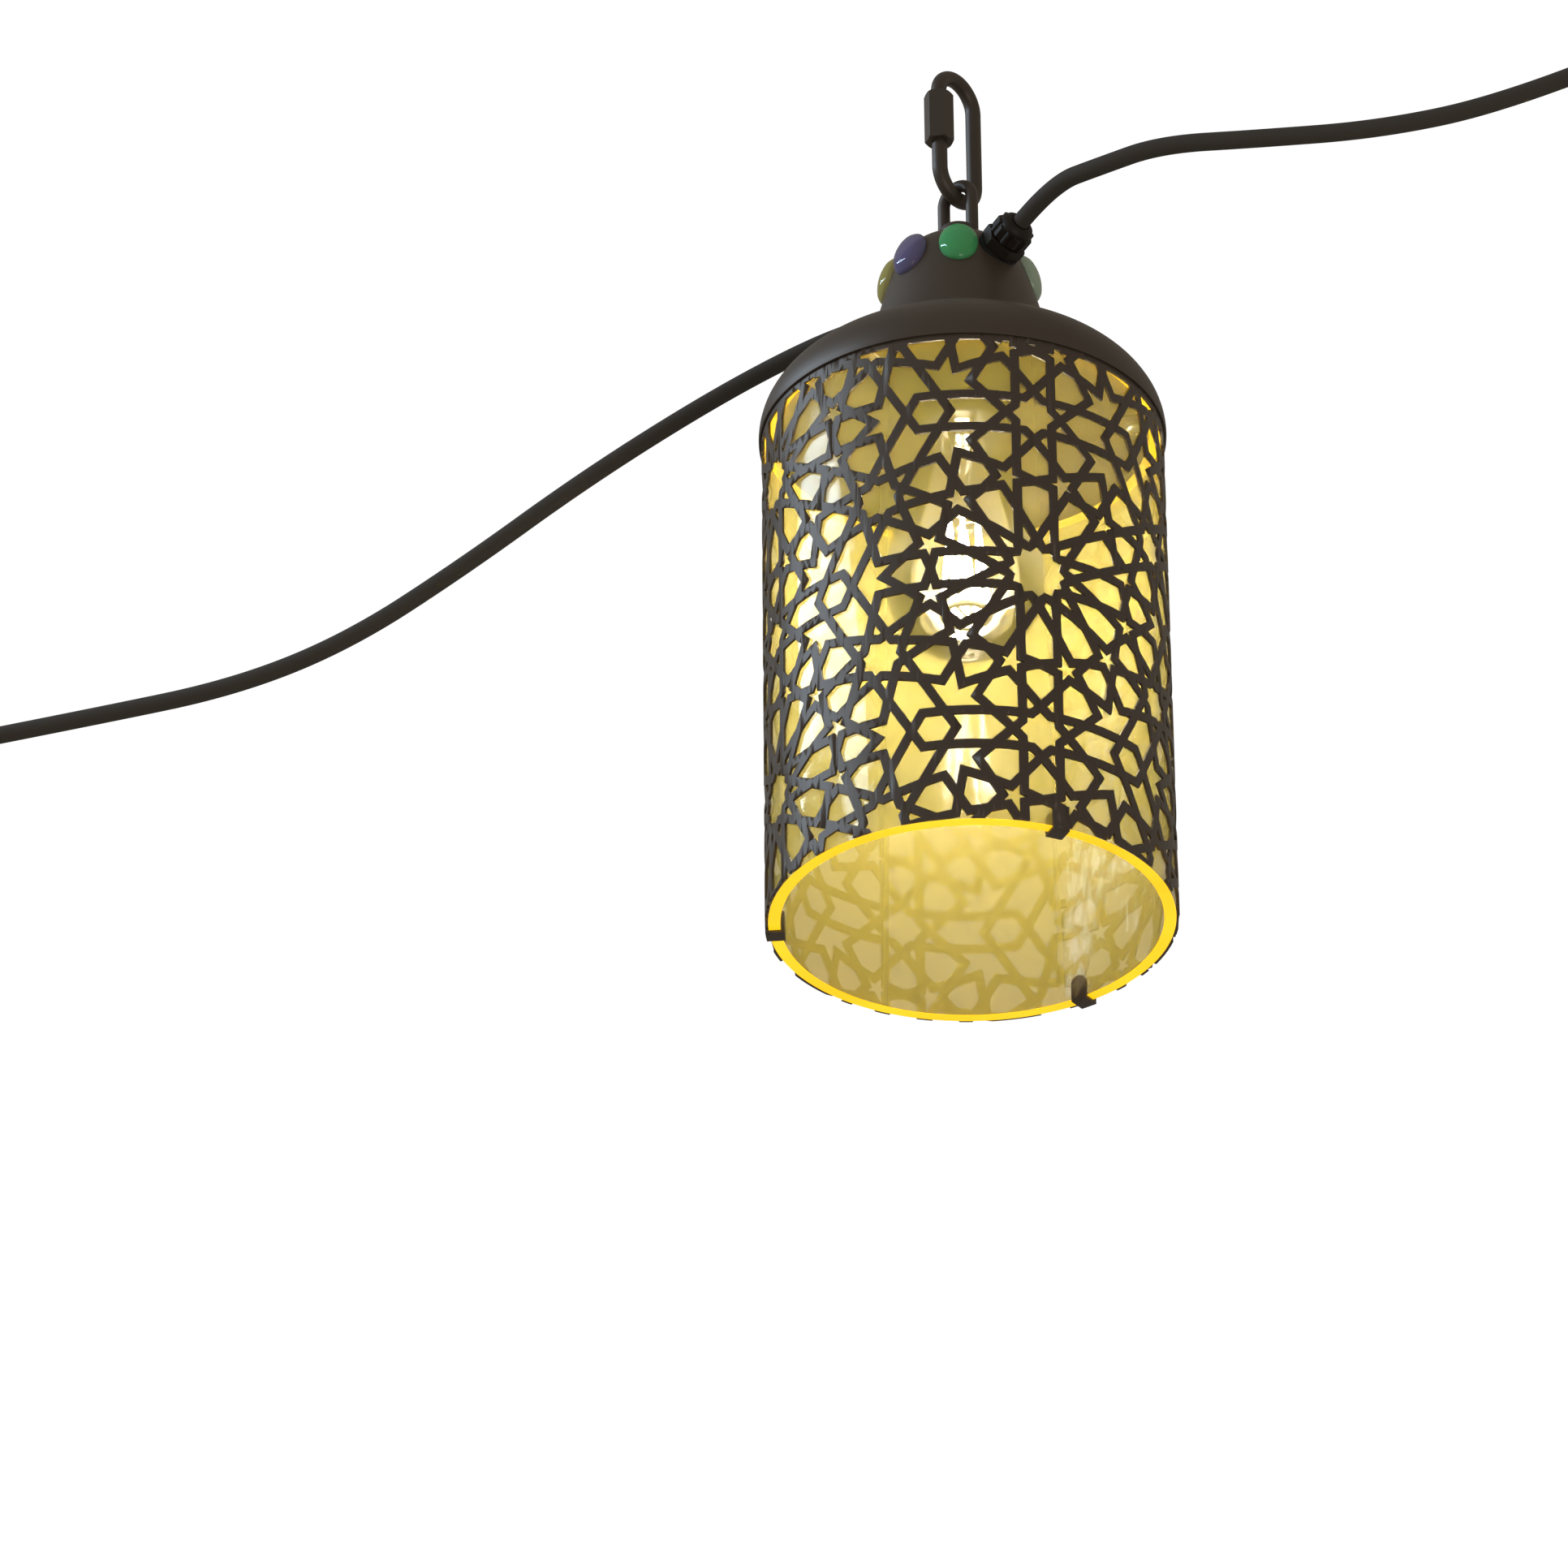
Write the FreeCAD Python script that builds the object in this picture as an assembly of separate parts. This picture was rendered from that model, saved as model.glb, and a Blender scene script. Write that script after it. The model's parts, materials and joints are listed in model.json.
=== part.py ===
import FreeCAD, Part
import math
import os

# Hanging electric lantern: a laser-cut metal sleeve round an acrylic tube, under a spun metal cap.
# Millimetres, +Z up. The origin is the inside of the quick link's upper bow, where the lantern hangs.
# Heights named *_H are measured upward from the bottom edge of the acrylic tube.

V = FreeCAD.Vector
ORIGIN = V(0, 0, 0)
UP = V(0, 0, 1)

# ---- driving dimensions ----
HANG_H = 372.0                  # hang point above the tube's bottom edge

TUBE_R = 75.0                   # 150 mm acrylic tube
TUBE_WALL = 4.5
TUBE_TOP_H = 211.1

SLEEVE_R = 76.2
SLEEVE_WALL = 1.0
SLEEVE_BOTTOM_H = 0.4
SLEEVE_TOP_H = 212.4
WALL_PANELS = 16                # faces round the sleeve's wall
WALL_BANDS = 4                  # and up it
PATTERN_TOP_H = 206.1           # the pattern stops here and a plain band goes on under the cap's lip

PATTERN_REPEAT = 136.2          # from one twelve-pointed star to the next in a column
PATTERN_COLUMNS = 4
PATTERN_AZ = -70.8              # azimuth of the first column of stars, degrees
PATTERN_STAR_H = 106.7          # height of a twelve-pointed star in the first column
STRAP_WIDTH = 3.45
STRAP_OFFSET = 7.0              # from a star's centre to the strap line beside it
CROSS_OFFSET = 7.1              # the same beside an eight-pointed star and a hexagon
STAR_TIP_R = 10.9
KITE_SHOULDER_R = 14.5
KITE_END_R = 12.7
RING_R = 39.4                   # corners of the twelve-sided ring round the petals
OUTER_RING_R = 57.5             # crossings outside that ring

HOOK_AZ = (25.7 - 91.3, 145.7 - 91.3, 265.7 - 91.3)
HOOK_WIDTH = 6.5
HOOK_RISE = 9.0
TAB_WIDTH = 14.0
TAB_HOLE_R = 2.2
SHADE_SCREW_R = 65.5            # radius of the circle of shade screws

CAP_WALL = 0.8
CAP_LIP_H = 208.3
CAP_OUTLINE = ((77.1, 208.3), (77.2, 211.2), (76.6, 215.4), (75.0, 220.0), (71.6, 225.4), (66.2, 230.6),
               (59.0, 235.1), (51.0, 238.8), (43.8, 242.5), (38.4, 246.6), (35.1, 251.4), (33.3, 257.0),
               (31.6, 263.5), (29.6, 271.0), (27.2, 279.0), (24.7, 286.3), (22.2, 290.9), (18.5, 294.4),
               (13.0, 297.1), (7.0, 298.5), (0.0, 299.0))

GEM_R = 7.5                     # half the width of a gem
GEM_HALF_HEIGHT = 10.0
GEM_RISE = 4.9
GEM_H = 282.5
WALL_R = 25.9                   # neck radius at the gems and glands
WALL_TILT = 17.0                # how far the neck's normal points above level, degrees
GEM_AZ = {"gem_front_green": -91.3, "gem_front_left_indigo": -136.3, "gem_left_olive": 178.7,
          "gem_right_pale_green": -1.3, "gem_rear_right_indigo": 43.7, "gem_rear_green": 88.7}

GLAND_AZ = {"right": -54.0, "left": 126.0}
GLAND_H = 283.5
GLAND_WALL_R = 25.5
GLAND_THREAD_R = 7.0
GLAND_AF = 15.5
GLAND_LENGTH = 14.5             # from the neck's wall to the face that the cable enters
CABLE_R = 3.5
RUNNING_GAP = 0.06

EARTH_AZ = 43.7

NIPPLE_R = 5.0
NIPPLE_BORE_R = 3.4
NIPPLE_TOP_H = 304.8
NIPPLE_BOTTOM_H = 259.0

LOOP_WIRE_R = 2.4
LOOP_HALF_WIDTH = 6.9
LOOP_ARC_H = 318.6
LOOP_BASE_H = 300.2
LOOP_AZ = -40.0
COLLAR_R = 7.6
COLLAR_TOP_H = 305.6

LINK_WIRE_R = 3.0
LINK_BOW_R = 10.5
LINK_AZ = 230.0                 # side of the link that carries the nut
LINK_BOW_BOTTOM_H = 319.8       # centre line of the lower bow
LINK_TOP_ARC = -LINK_BOW_R + LINK_WIRE_R
LINK_NUT_TOP = -9.0
LINK_NUT_LENGTH = 22.0
LINK_NUT_AF = 10.0
LINK_GATE = (-12.0, -24.0)      # the two ends of the wire inside the nut

BULB_OUTLINE = ((13.3, 219.0), (14.6, 208.0), (19.0, 192.0), (25.6, 172.0), (29.4, 157.0), (30.0, 146.0),
                (28.2, 135.7), (21.2, 124.8), (11.0, 118.2), (0.0, 116.0))
BULB_GLASS = 0.8
BASE_R = 13.25
SHELL_R = 13.33

RIGHT_EXIT_RUN = 21.5
RIGHT_ROUTE = ((52, -61, -79), (75, -71, -76), (110, -80, -80), (157, -90, -83), (202, -99, -78),
               (237, -105, -66))
LEFT_EXIT_RUN = 22.5
LEFT_ROUTE = ((-60, 64, -79), (-98, 79, -93), (-146, 95, -118), (-193, 110, -148), (-238, 124, -173),
              (-283, 138, -185), (-338, 154, -188), (-391, 168, -191))


def height(above_tube_bottom):
    """Z of a height measured from the tube's bottom edge."""
    return above_tube_bottom - HANG_H


def level(radius, above_tube_bottom):
    """Point of a turned outline, in the XZ plane."""
    return V(radius, 0, height(above_tube_bottom))


def heading(azimuth, tilt=0.0):
    """Unit vector at an azimuth, tilted upward, both in degrees."""
    a = math.radians(azimuth)
    t = math.radians(tilt)
    return V(math.cos(a) * math.cos(t), math.sin(a) * math.cos(t), math.sin(t))


def export(name, *solids):
    """Write one node, as one solid or a group of separate solids."""
    shape = solids[0] if len(solids) == 1 else Part.makeCompound(list(solids))
    shape.exportStep("parts/%s.step" % name)


def turned(points):
    """Solid of revolution about Z from a closed outline of points in the XZ plane."""
    wire = Part.makePolygon(list(points) + [points[0]])
    return Part.Face(wire).revolve(ORIGIN, UP, 360)


def turned_rz(pairs):
    """The same from (radius, z) pairs."""
    return turned([V(r, 0, z) for r, z in pairs])


def cylinder(radius, z0, z1):
    return Part.makeCylinder(radius, z1 - z0, V(0, 0, z0), UP)


def ring(outer, inner, z0, z1):
    return cylinder(outer, z0, z1).cut(cylinder(inner, z0 - 1, z1 + 1))


def hexagon(across_flats, z0, z1, bore=0.0, chamfer=0.5):
    """Hexagon prism with turned corners at both ends and an optional bore."""
    corner = across_flats / 2 / math.cos(math.radians(30))
    points = [V(corner * math.cos(math.radians(60 * i)), corner * math.sin(math.radians(60 * i)), z0)
              for i in range(7)]
    prism = Part.Face(Part.makePolygon(points)).extrude(V(0, 0, z1 - z0))
    flat = across_flats / 2
    drop = (corner + 0.2 - flat) * chamfer
    envelope = turned_rz(((0, z0), (flat, z0), (corner + 0.2, z0 + drop), (corner + 0.2, z1 - drop),
                          (flat, z1), (0, z1)))
    prism = prism.common(envelope)
    if bore:
        prism = prism.cut(cylinder(bore, z0 - 1, z1 + 1))
    return prism


def placed(shape, point, direction):
    """Copy of a shape built along +Z at the origin, moved to a point and turned to a direction."""
    result = shape.copy()
    result.Placement = FreeCAD.Placement(point, FreeCAD.Rotation(UP, direction))
    return result


def smooth(points):
    curve = Part.BSplineCurve()
    curve.interpolate(points)
    return curve


def offset_points(points, distance):
    """Points moved sideways, inward from a smooth curve through them, in the XZ plane."""
    curve = smooth(points)
    moved = []
    for point in points:
        tangent = curve.tangent(curve.parameter(point))[0]
        moved.append(point + V(tangent.z, 0, -tangent.x) * -distance)
    return moved


def shell_of(outline, wall):
    """Turned shell, and its outer and inner bodies, from an outer outline that ends on the axis."""
    outer = [level(r, h) for r, h in outline]
    upward = outer[-1].z > outer[0].z
    inward = wall if upward else -wall
    inner = offset_points(outer, inward)
    inner[-1] = V(0, 0, outer[-1].z - inward)
    inner[0] = V(inner[0].x, 0, outer[0].z)
    bodies = []
    for points in (outer, inner):
        mouth = V(0, 0, points[0].z)
        edges = [smooth(points).toShape(),
                 Part.makeLine(points[-1], mouth),
                 Part.makeLine(mouth, points[0])]
        face = Part.Face(Part.Wire(Part.__sortEdges__(edges)))
        bodies.append(face.revolve(ORIGIN, UP, 360))
    return bodies[0].cut(bodies[1]), bodies[0], bodies[1]


def filleted_path(points, share=0.45):
    """Straight runs joined by tangent arcs; prints the arcs' radii."""
    edges = []
    radii = []
    start = points[0]
    for before, corner, after in zip(points, points[1:], points[2:]):
        into = (corner - before).normalize()
        out = (after - corner).normalize()
        half = into.getAngle(out) / 2
        cut = share * min((corner - before).Length, (after - corner).Length)
        radius = cut / math.tan(half)
        bisector = (out - into).normalize()
        middle = corner + bisector * (radius / math.cos(half) - radius)
        first = corner - into * cut
        last = corner + out * cut
        edges.append(Part.LineSegment(start, first).toShape())
        edges.append(Part.Arc(first, middle, last).toShape())
        radii.append(radius)
        start = last
    edges.append(Part.LineSegment(start, points[-1]).toShape())
    return Part.Wire(edges), radii


def rod_along(points, radius, label=""):
    """Round rod swept along straight runs joined by tangent arcs."""
    path, radii = filleted_path(points)
    axis = (points[1] - points[0]).normalize()
    profile = Part.Wire(Part.makeCircle(radius, points[0], axis))
    rod = path.makePipeShell([profile], True, True)
    expected = math.pi * radius * radius * path.Length
    if label:
        print("%s: length %.1f, volume ratio %.4f, radii %s"
              % (label, path.Length, rod.Volume / expected, [round(r) for r in radii]))
    return rod


# ---- the sleeve's strapwork pattern, in a flat frame with its origin at a twelve-pointed star ----

def strap_edge(point, angle, shift):
    """Line at an angle in degrees through a point, moved to its left by shift: (nx, ny, distance)."""
    a = math.radians(angle)
    nx, ny = -math.sin(a), math.cos(a)
    return nx, ny, nx * point[0] + ny * point[1] + shift


def edge_between(start, end, shift):
    angle = math.degrees(math.atan2(end[1] - start[1], end[0] - start[0]))
    return strap_edge(start, angle, shift)


def meet(first, second):
    a, b, c = first
    d, e, f = second
    det = a * e - b * d
    return (c * e - b * f) / det, (a * f - c * d) / det


def polar(radius, angle):
    a = math.radians(angle)
    return radius * math.cos(a), radius * math.sin(a)


def rotate(points, angle):
    c, s = polar(1.0, angle)
    return [(c * x - s * y, s * x + c * y) for x, y in points]


def reflect(points, angle):
    """Mirror in a line through the origin at an angle."""
    c, s = polar(1.0, 2 * angle)
    return [(c * x + s * y, s * x - c * y) for x, y in reversed(points)]


def with_mirror(points, angle):
    """Close an outline that starts and ends on a mirror line through the origin."""
    return points + reflect(points, angle)[1:-1]


def shift_points(points, dx, dy):
    return [(x + dx, y + dy) for x, y in points]


def pattern_cells():
    """Every opening that belongs to one twelve-pointed star, as outlines round that star's centre."""
    h = STRAP_WIDTH / 2
    s = STRAP_OFFSET
    mid = PATTERN_REPEAT / 2
    side = mid / math.sqrt(3)
    near, far = s - h, s + h

    ring_corner = (0.0, RING_R)
    ring_next = polar(RING_R, 120)
    cross_up = (0.0, OUTER_RING_R)
    cross_out = polar(OUTER_RING_R, 120)
    cross_side = (OUTER_RING_R - mid, mid)

    upright_in = strap_edge((-near, 0), 90, 0)
    upright_out = strap_edge((-far, 0), 90, 0)
    slant_point = (s * math.cos(math.radians(30)), s * math.sin(math.radians(30)))
    slant_in = strap_edge(slant_point, 120, h)
    slant_out = strap_edge(slant_point, 120, -h)
    ring_in = edge_between(ring_corner, ring_next, h)
    ring_out = edge_between(ring_corner, ring_next, -h)
    fall_in = edge_between(ring_corner, cross_out, h)
    fall_out = edge_between(ring_corner, cross_out, -h)
    rise_in = edge_between(ring_next, cross_up, -h)
    rise_out = edge_between(ring_next, cross_up, h)
    square_in = edge_between(cross_up, cross_side, h)
    square_out = edge_between(cross_up, cross_side, -h)
    wing_low = strap_edge(cross_side, 225, h)
    wing_high = strap_edge(cross_side, 225, -h)
    level_low = strap_edge((0, mid - CROSS_OFFSET - h), 0, 0)
    level_high = strap_edge((0, mid - CROSS_OFFSET + h), 0, 0)
    chevron = strap_edge((-side + CROSS_OFFSET / math.sin(math.radians(60)), mid), 240, h)
    centre_line = strap_edge((0, 0), 90, 0)
    middle_line = strap_edge((0, mid), 0, 0)
    outer_line = strap_edge((0, 0), 120, 0)

    star = []
    notch_r = STAR_TIP_R * math.cos(math.radians(45)) / math.cos(math.radians(30))
    for i in range(12):
        star.append(polar(STAR_TIP_R, 30 * i))
        star.append(polar(notch_r, 30 * i + 15))

    kite_tip = near / math.sin(math.radians(15))
    kite_half = (kite_tip - KITE_SHOULDER_R) * math.tan(math.radians(15))
    kite = rotate([(0, kite_tip), (-kite_half, KITE_SHOULDER_R), (0, KITE_END_R), (kite_half, KITE_SHOULDER_R)], 15)

    petal = with_mirror([meet(slant_out, centre_line), meet(slant_out, upright_in), meet(upright_in, ring_in),
                         meet(ring_in, centre_line)], 90)
    five = [meet(*pair) for pair in (
        (upright_out, rise_in), (upright_out, fall_in), (fall_in, ring_out), (upright_out, ring_out),
        (upright_out, slant_out), (slant_out, ring_out), (ring_out, rise_in), (slant_out, rise_in),
        (slant_out, fall_in), (fall_in, rise_in))]
    shield = with_mirror([meet(fall_out, centre_line), meet(fall_out, upright_in), meet(upright_in, rise_in),
                          meet(rise_in, centre_line)], 90)
    corner = [meet(upright_out, level_low), meet(level_low, wing_low), meet(wing_low, slant_out),
              meet(slant_out, fall_out), meet(fall_out, rise_out), meet(rise_out, upright_out)]
    sliver = [meet(upright_in, rise_out), meet(rise_out, square_in), meet(square_in, level_low),
              meet(level_low, upright_in)]
    sliver_side = [meet(square_in, wing_low), meet(square_in, upright_out), meet(upright_out, level_high),
                   meet(level_high, wing_low)]
    prong = with_mirror([meet(level_low, outer_line), meet(level_low, wing_high), meet(wing_high, slant_in),
                         meet(slant_in, fall_out), meet(fall_out, outer_line)], 120)

    def flip_level(points):
        return [(x, 2 * mid - y) for x, y in reversed(points)]

    quarter = [meet(square_out, centre_line), meet(square_out, level_high), meet(level_high, upright_in),
               meet(upright_in, square_out), meet(square_out, middle_line)]
    left_half = quarter + flip_level(quarter)[1:]
    eight = left_half + [(-x, y) for x, y in reversed(left_half)][1:-1]
    arrow_low = [meet(wing_high, middle_line), meet(wing_high, level_high), meet(level_high, chevron),
                 meet(chevron, middle_line)]
    arrow = arrow_low + flip_level(arrow_low)[1:-1]
    hexagon_r = (CROSS_OFFSET - h) / math.cos(math.radians(30))
    small_hexagon = [polar(hexagon_r, 60 * i) for i in range(6)]

    cells = [star]
    for i in range(12):
        turn = 30 * i
        cells += [rotate(kite, turn), rotate(petal, turn), rotate(five, turn), rotate(shield, turn)]
    for i in range(6):
        turn = 60 * i
        for shape in (corner, sliver, sliver_side):
            cells += [rotate(shape, turn), rotate(reflect(shape, 90), turn)]
        cells.append(rotate(prong, turn))
    for turn in (-60, 0, 60):
        cells += [rotate(eight, turn), rotate(arrow, turn), rotate(reflect(arrow, 90), turn)]
    cells.append(shift_points(small_hexagon, -side, mid))
    cells.append(shift_points(small_hexagon, side, mid))
    return cells


def panelled_ring(outer, inner, z0, z1):
    """Tube wall whose faces are divided into panels, so that each face carries only a few openings."""
    angle = 360 / WALL_PANELS
    rise = (z1 - z0) / WALL_BANDS
    panels = []
    for column in range(WALL_PANELS):
        for band in range(WALL_BANDS):
            low = V(0, 0, z0 + band * rise)
            panel = Part.makeCylinder(outer, rise, low, UP, angle).cut(Part.makeCylinder(inner, rise, low, UP))
            panel.rotate(ORIGIN, UP, column * angle)
            panels.append(panel)
    return panels[0].fuse(panels[1:])


def sleeve_cutters():
    """Radial prisms for every opening of the sleeve."""
    column_angle = 2 * math.pi / PATTERN_COLUMNS
    stretch = column_angle * SLEEVE_R / (PATTERN_REPEAT * math.cos(math.radians(30)))
    cells = pattern_cells()
    band = cylinder(SLEEVE_R + 20, height(-30), height(PATTERN_TOP_H))
    depth = 9.0
    cutters = []
    for column in range(PATTERN_COLUMNS):
        for row in (-2, -1, 0, 1, 2):
            star_h = PATTERN_STAR_H + (row + column % 2 / 2) * PATTERN_REPEAT
            for cell in cells:
                heights = [star_h + y for x, y in cell]
                if max(heights) < SLEEVE_BOTTOM_H + 0.15 or min(heights) > PATTERN_TOP_H - 0.15:
                    continue
                angles = [math.radians(PATTERN_AZ) + column * column_angle + x * stretch / SLEEVE_R
                          for x, y in cell]
                centre = (min(angles) + max(angles)) / 2
                out = V(math.cos(centre), math.sin(centre), 0)
                side = V(-out.y, out.x, 0)
                base = out * (SLEEVE_R - depth)
                corners = [base + side * (SLEEVE_R * math.sin(a - centre)) + UP * height(z)
                           for a, z in zip(angles, heights)]
                prism = Part.Face(Part.makePolygon(corners + [corners[0]])).extrude(out * (depth + 3))
                if max(heights) > PATTERN_TOP_H:
                    prism = prism.common(band)
                cutters.append(prism)
    return cutters


def bent_strip(profile, width, azimuth):
    """Strip of a given width, extruded tangentially from an outline of (radius, height above tube bottom)."""
    points = [level(r, h) - V(0, width / 2, 0) for r, h in profile]
    strip = Part.Face(Part.makePolygon(points + [points[0]])).extrude(V(0, width, 0))
    strip.rotate(ORIGIN, UP, azimuth)
    return strip


def make_sleeve():
    inner_r = SLEEVE_R - SLEEVE_WALL
    wall = panelled_ring(SLEEVE_R, inner_r, height(SLEEVE_BOTTOM_H), height(SLEEVE_TOP_H))
    wall = wall.cut(sleeve_cutters())
    wall = max(wall.Solids, key=lambda solid: solid.Volume)

    under = -0.3
    tube_in = TUBE_R - TUBE_WALL
    lip_out = tube_in - 0.3
    hook_profile = ((SLEEVE_R - 0.06, HOOK_RISE), (SLEEVE_R - 0.06, under - SLEEVE_WALL),
                    (lip_out - SLEEVE_WALL, under - SLEEVE_WALL), (lip_out - SLEEVE_WALL, HOOK_RISE),
                    (lip_out, HOOK_RISE), (lip_out, under), (inner_r + 0.04, under), (inner_r + 0.04, HOOK_RISE))
    extras = []
    for azimuth in HOOK_AZ:
        hook = bent_strip(hook_profile, HOOK_WIDTH, azimuth)
        out = heading(azimuth)
        nose = Part.makeCylinder(HOOK_WIDTH / 2, 12, out * (lip_out - 8) + UP * height(HOOK_RISE - HOOK_WIDTH / 2), out)
        keep = Part.makeBox(30, HOOK_WIDTH, HOOK_RISE - HOOK_WIDTH / 2 + 4, V(60, -HOOK_WIDTH / 2, height(-4)))
        keep.rotate(ORIGIN, UP, azimuth)
        outside = Part.makeBox(10, HOOK_WIDTH, HOOK_RISE + 4, V(73, -HOOK_WIDTH / 2, height(-4)))
        outside.rotate(ORIGIN, UP, azimuth)
        extras.append(hook.common(nose.fuse([keep, outside])))
    tab_low = SLEEVE_TOP_H - SLEEVE_WALL
    for azimuth in HOOK_AZ:
        tab = bent_strip(((SLEEVE_R - 0.4, tab_low), (60.0, tab_low), (60.0, SLEEVE_TOP_H),
                          (SLEEVE_R - 0.4, SLEEVE_TOP_H)), TAB_WIDTH, azimuth + 60)
        hole = Part.makeCylinder(TAB_HOLE_R, 5, heading(azimuth + 60) * SHADE_SCREW_R + UP * height(tab_low - 2), UP)
        extras.append(tab.cut(hole))
    return wall.fuse(extras)


def make_tube():
    return ring(TUBE_R, TUBE_R - TUBE_WALL, height(0), height(TUBE_TOP_H))


def make_shade_fixings(cavity):
    """Posts that hang from the cap and the screws that hold the sleeve's tabs to them."""
    posts = []
    screws = []
    top = height(SLEEVE_TOP_H)
    for azimuth in HOOK_AZ:
        point = heading(azimuth + 60) * SHADE_SCREW_R
        post = Part.makeCylinder(3.8, 25, point + UP * top, UP).common(cavity)
        bore = Part.makeCylinder(2.06, 11.5, point + UP * top, UP)
        posts.append(post.cut(bore))
        head_top = top - SLEEVE_WALL
        profile = ((0, head_top - 2.6), (2.2, head_top - 2.5), (3.3, head_top - 1.8), (3.6, head_top - 0.8),
                   (3.6, head_top), (2.0, head_top), (2.0, top + 10), (0, top + 10))
        screw = turned_rz(profile)
        for angle in (0, 90):
            slot = Part.makeBox(3.6, 0.7, 1.3, V(-1.8, -0.35, head_top - 2.8))
            slot.rotate(ORIGIN, UP, angle)
            screw = screw.cut(slot)
        screw.translate(point)
        screws.append(screw)
    return posts, screws


def make_gem(azimuth, cap_body):
    """Oval glass cabochon, upright on the neck, whose back is shaped to the wall."""
    edge = 1.4
    sphere_r = (GEM_R ** 2 + (GEM_RISE - edge) ** 2) / (2 * (GEM_RISE - edge))
    dome = Part.makeSphere(sphere_r, V(0, 0, GEM_RISE - sphere_r))
    body = cylinder(GEM_R, -3, edge).fuse(dome.common(cylinder(GEM_R, edge, GEM_RISE + 1)))
    body = body.removeSplitter()
    rims = [e for e in body.Edges if abs(e.BoundBox.ZMin - edge) < 0.05 and abs(e.BoundBox.ZMax - edge) < 0.05]
    oval = FreeCAD.Matrix()
    oval.rotateZ(-math.radians(azimuth))
    oval.scale(GEM_HALF_HEIGHT / GEM_R, 1, 1)
    oval.rotateZ(math.radians(azimuth))
    body = body.makeFillet(0.9, rims).transformGeometry(oval)
    seat = heading(azimuth) * WALL_R + UP * height(GEM_H)
    return placed(body, seat, heading(azimuth, WALL_TILT)).cut(cap_body)


def gland_frame(azimuth):
    seat = heading(azimuth) * GLAND_WALL_R + UP * height(GLAND_H)
    return seat, heading(azimuth, WALL_TILT)


def make_gland(azimuth, cap_body):
    """Body, clamping nut, rubber insert, gasket and inside lock nut of one cable gland."""
    seat, out = gland_frame(azimuth)
    barrel_r = 5.9
    insert_r = 4.8
    nut_low = 6.0
    nut_high = 11.2
    body = hexagon(GLAND_AF, 0.8, 5.6)
    body = body.fuse(cylinder(GLAND_THREAD_R, -9, 0.9)).fuse(cylinder(barrel_r, 5.5, 10.4))
    body = body.cut(cylinder(CABLE_R + 0.3, -10, 7.2)).cut(cylinder(insert_r + 0.1, 6.4, 11))
    nut = hexagon(14.0, nut_low, nut_high)
    dome = turned_rz(((0, nut_high - 0.4), (7.0, nut_high - 0.4), (6.8, 12.3), (6.0, 13.6), (4.8, GLAND_LENGTH),
                      (0, GLAND_LENGTH)))
    lobes = []
    for i in range(6):
        a = math.radians(60 * i + 30)
        lobes.append(Part.makeCylinder(1.5, 5.6, V(6.5 * math.cos(a), 6.5 * math.sin(a), nut_low), UP))
    nut = nut.fuse([dome] + lobes)
    hollow = turned_rz(((0, 5), (barrel_r + RUNNING_GAP, 5), (barrel_r + RUNNING_GAP, nut_high), (3.8, 13.6),
                        (3.8, 16), (0, 16)))
    nut = nut.cut(hollow).removeSplitter()
    seal = ring(insert_r, CABLE_R + 0.1, 6.5, 11.0)
    gasket = ring(8.6, GLAND_THREAD_R + 0.05, -3.0, 0.8)
    lock = hexagon(GLAND_AF, -6.0, -2.6, GLAND_THREAD_R + 0.05)
    return {"body": placed(body, seat, out), "nut": placed(nut, seat, out), "seal": placed(seal, seat, out),
            "gasket": placed(gasket, seat, out).cut(cap_body), "lock": placed(lock, seat, out)}


def cut_cap_holes(cap):
    cap = cap.cut(cylinder(NIPPLE_R + 0.15, height(290), height(302)))
    for azimuth in GLAND_AZ.values():
        seat, out = gland_frame(azimuth)
        cap = cap.cut(Part.makeCylinder(GLAND_THREAD_R + 0.15, 14, seat - out * 8, out))
    return cap


def make_top_loop():
    arc_z = height(LOOP_ARC_H)
    left = V(-LOOP_HALF_WIDTH, 0, height(LOOP_BASE_H))
    right = V(LOOP_HALF_WIDTH, 0, height(LOOP_BASE_H))
    path = Part.Wire([Part.LineSegment(left, V(-LOOP_HALF_WIDTH, 0, arc_z)).toShape(),
                      Part.Arc(V(-LOOP_HALF_WIDTH, 0, arc_z), V(0, 0, arc_z + LOOP_HALF_WIDTH),
                               V(LOOP_HALF_WIDTH, 0, arc_z)).toShape(),
                      Part.LineSegment(V(LOOP_HALF_WIDTH, 0, arc_z), right).toShape()])
    wire = path.makePipeShell([Part.Wire(Part.makeCircle(LOOP_WIRE_R, left, UP))], True, True)
    collar = turned_rz(((0, height(LOOP_BASE_H)), (COLLAR_R, height(LOOP_BASE_H)),
                        (COLLAR_R, height(COLLAR_TOP_H - 1)), (COLLAR_R - 0.9, height(COLLAR_TOP_H)),
                        (0, height(COLLAR_TOP_H))))
    loop = wire.fuse(collar).cut(cylinder(NIPPLE_R + 0.05, height(LOOP_BASE_H - 1), height(COLLAR_TOP_H + 0.4)))
    loop = loop.removeSplitter()
    loop.rotate(ORIGIN, UP, LOOP_AZ)
    return loop


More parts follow.
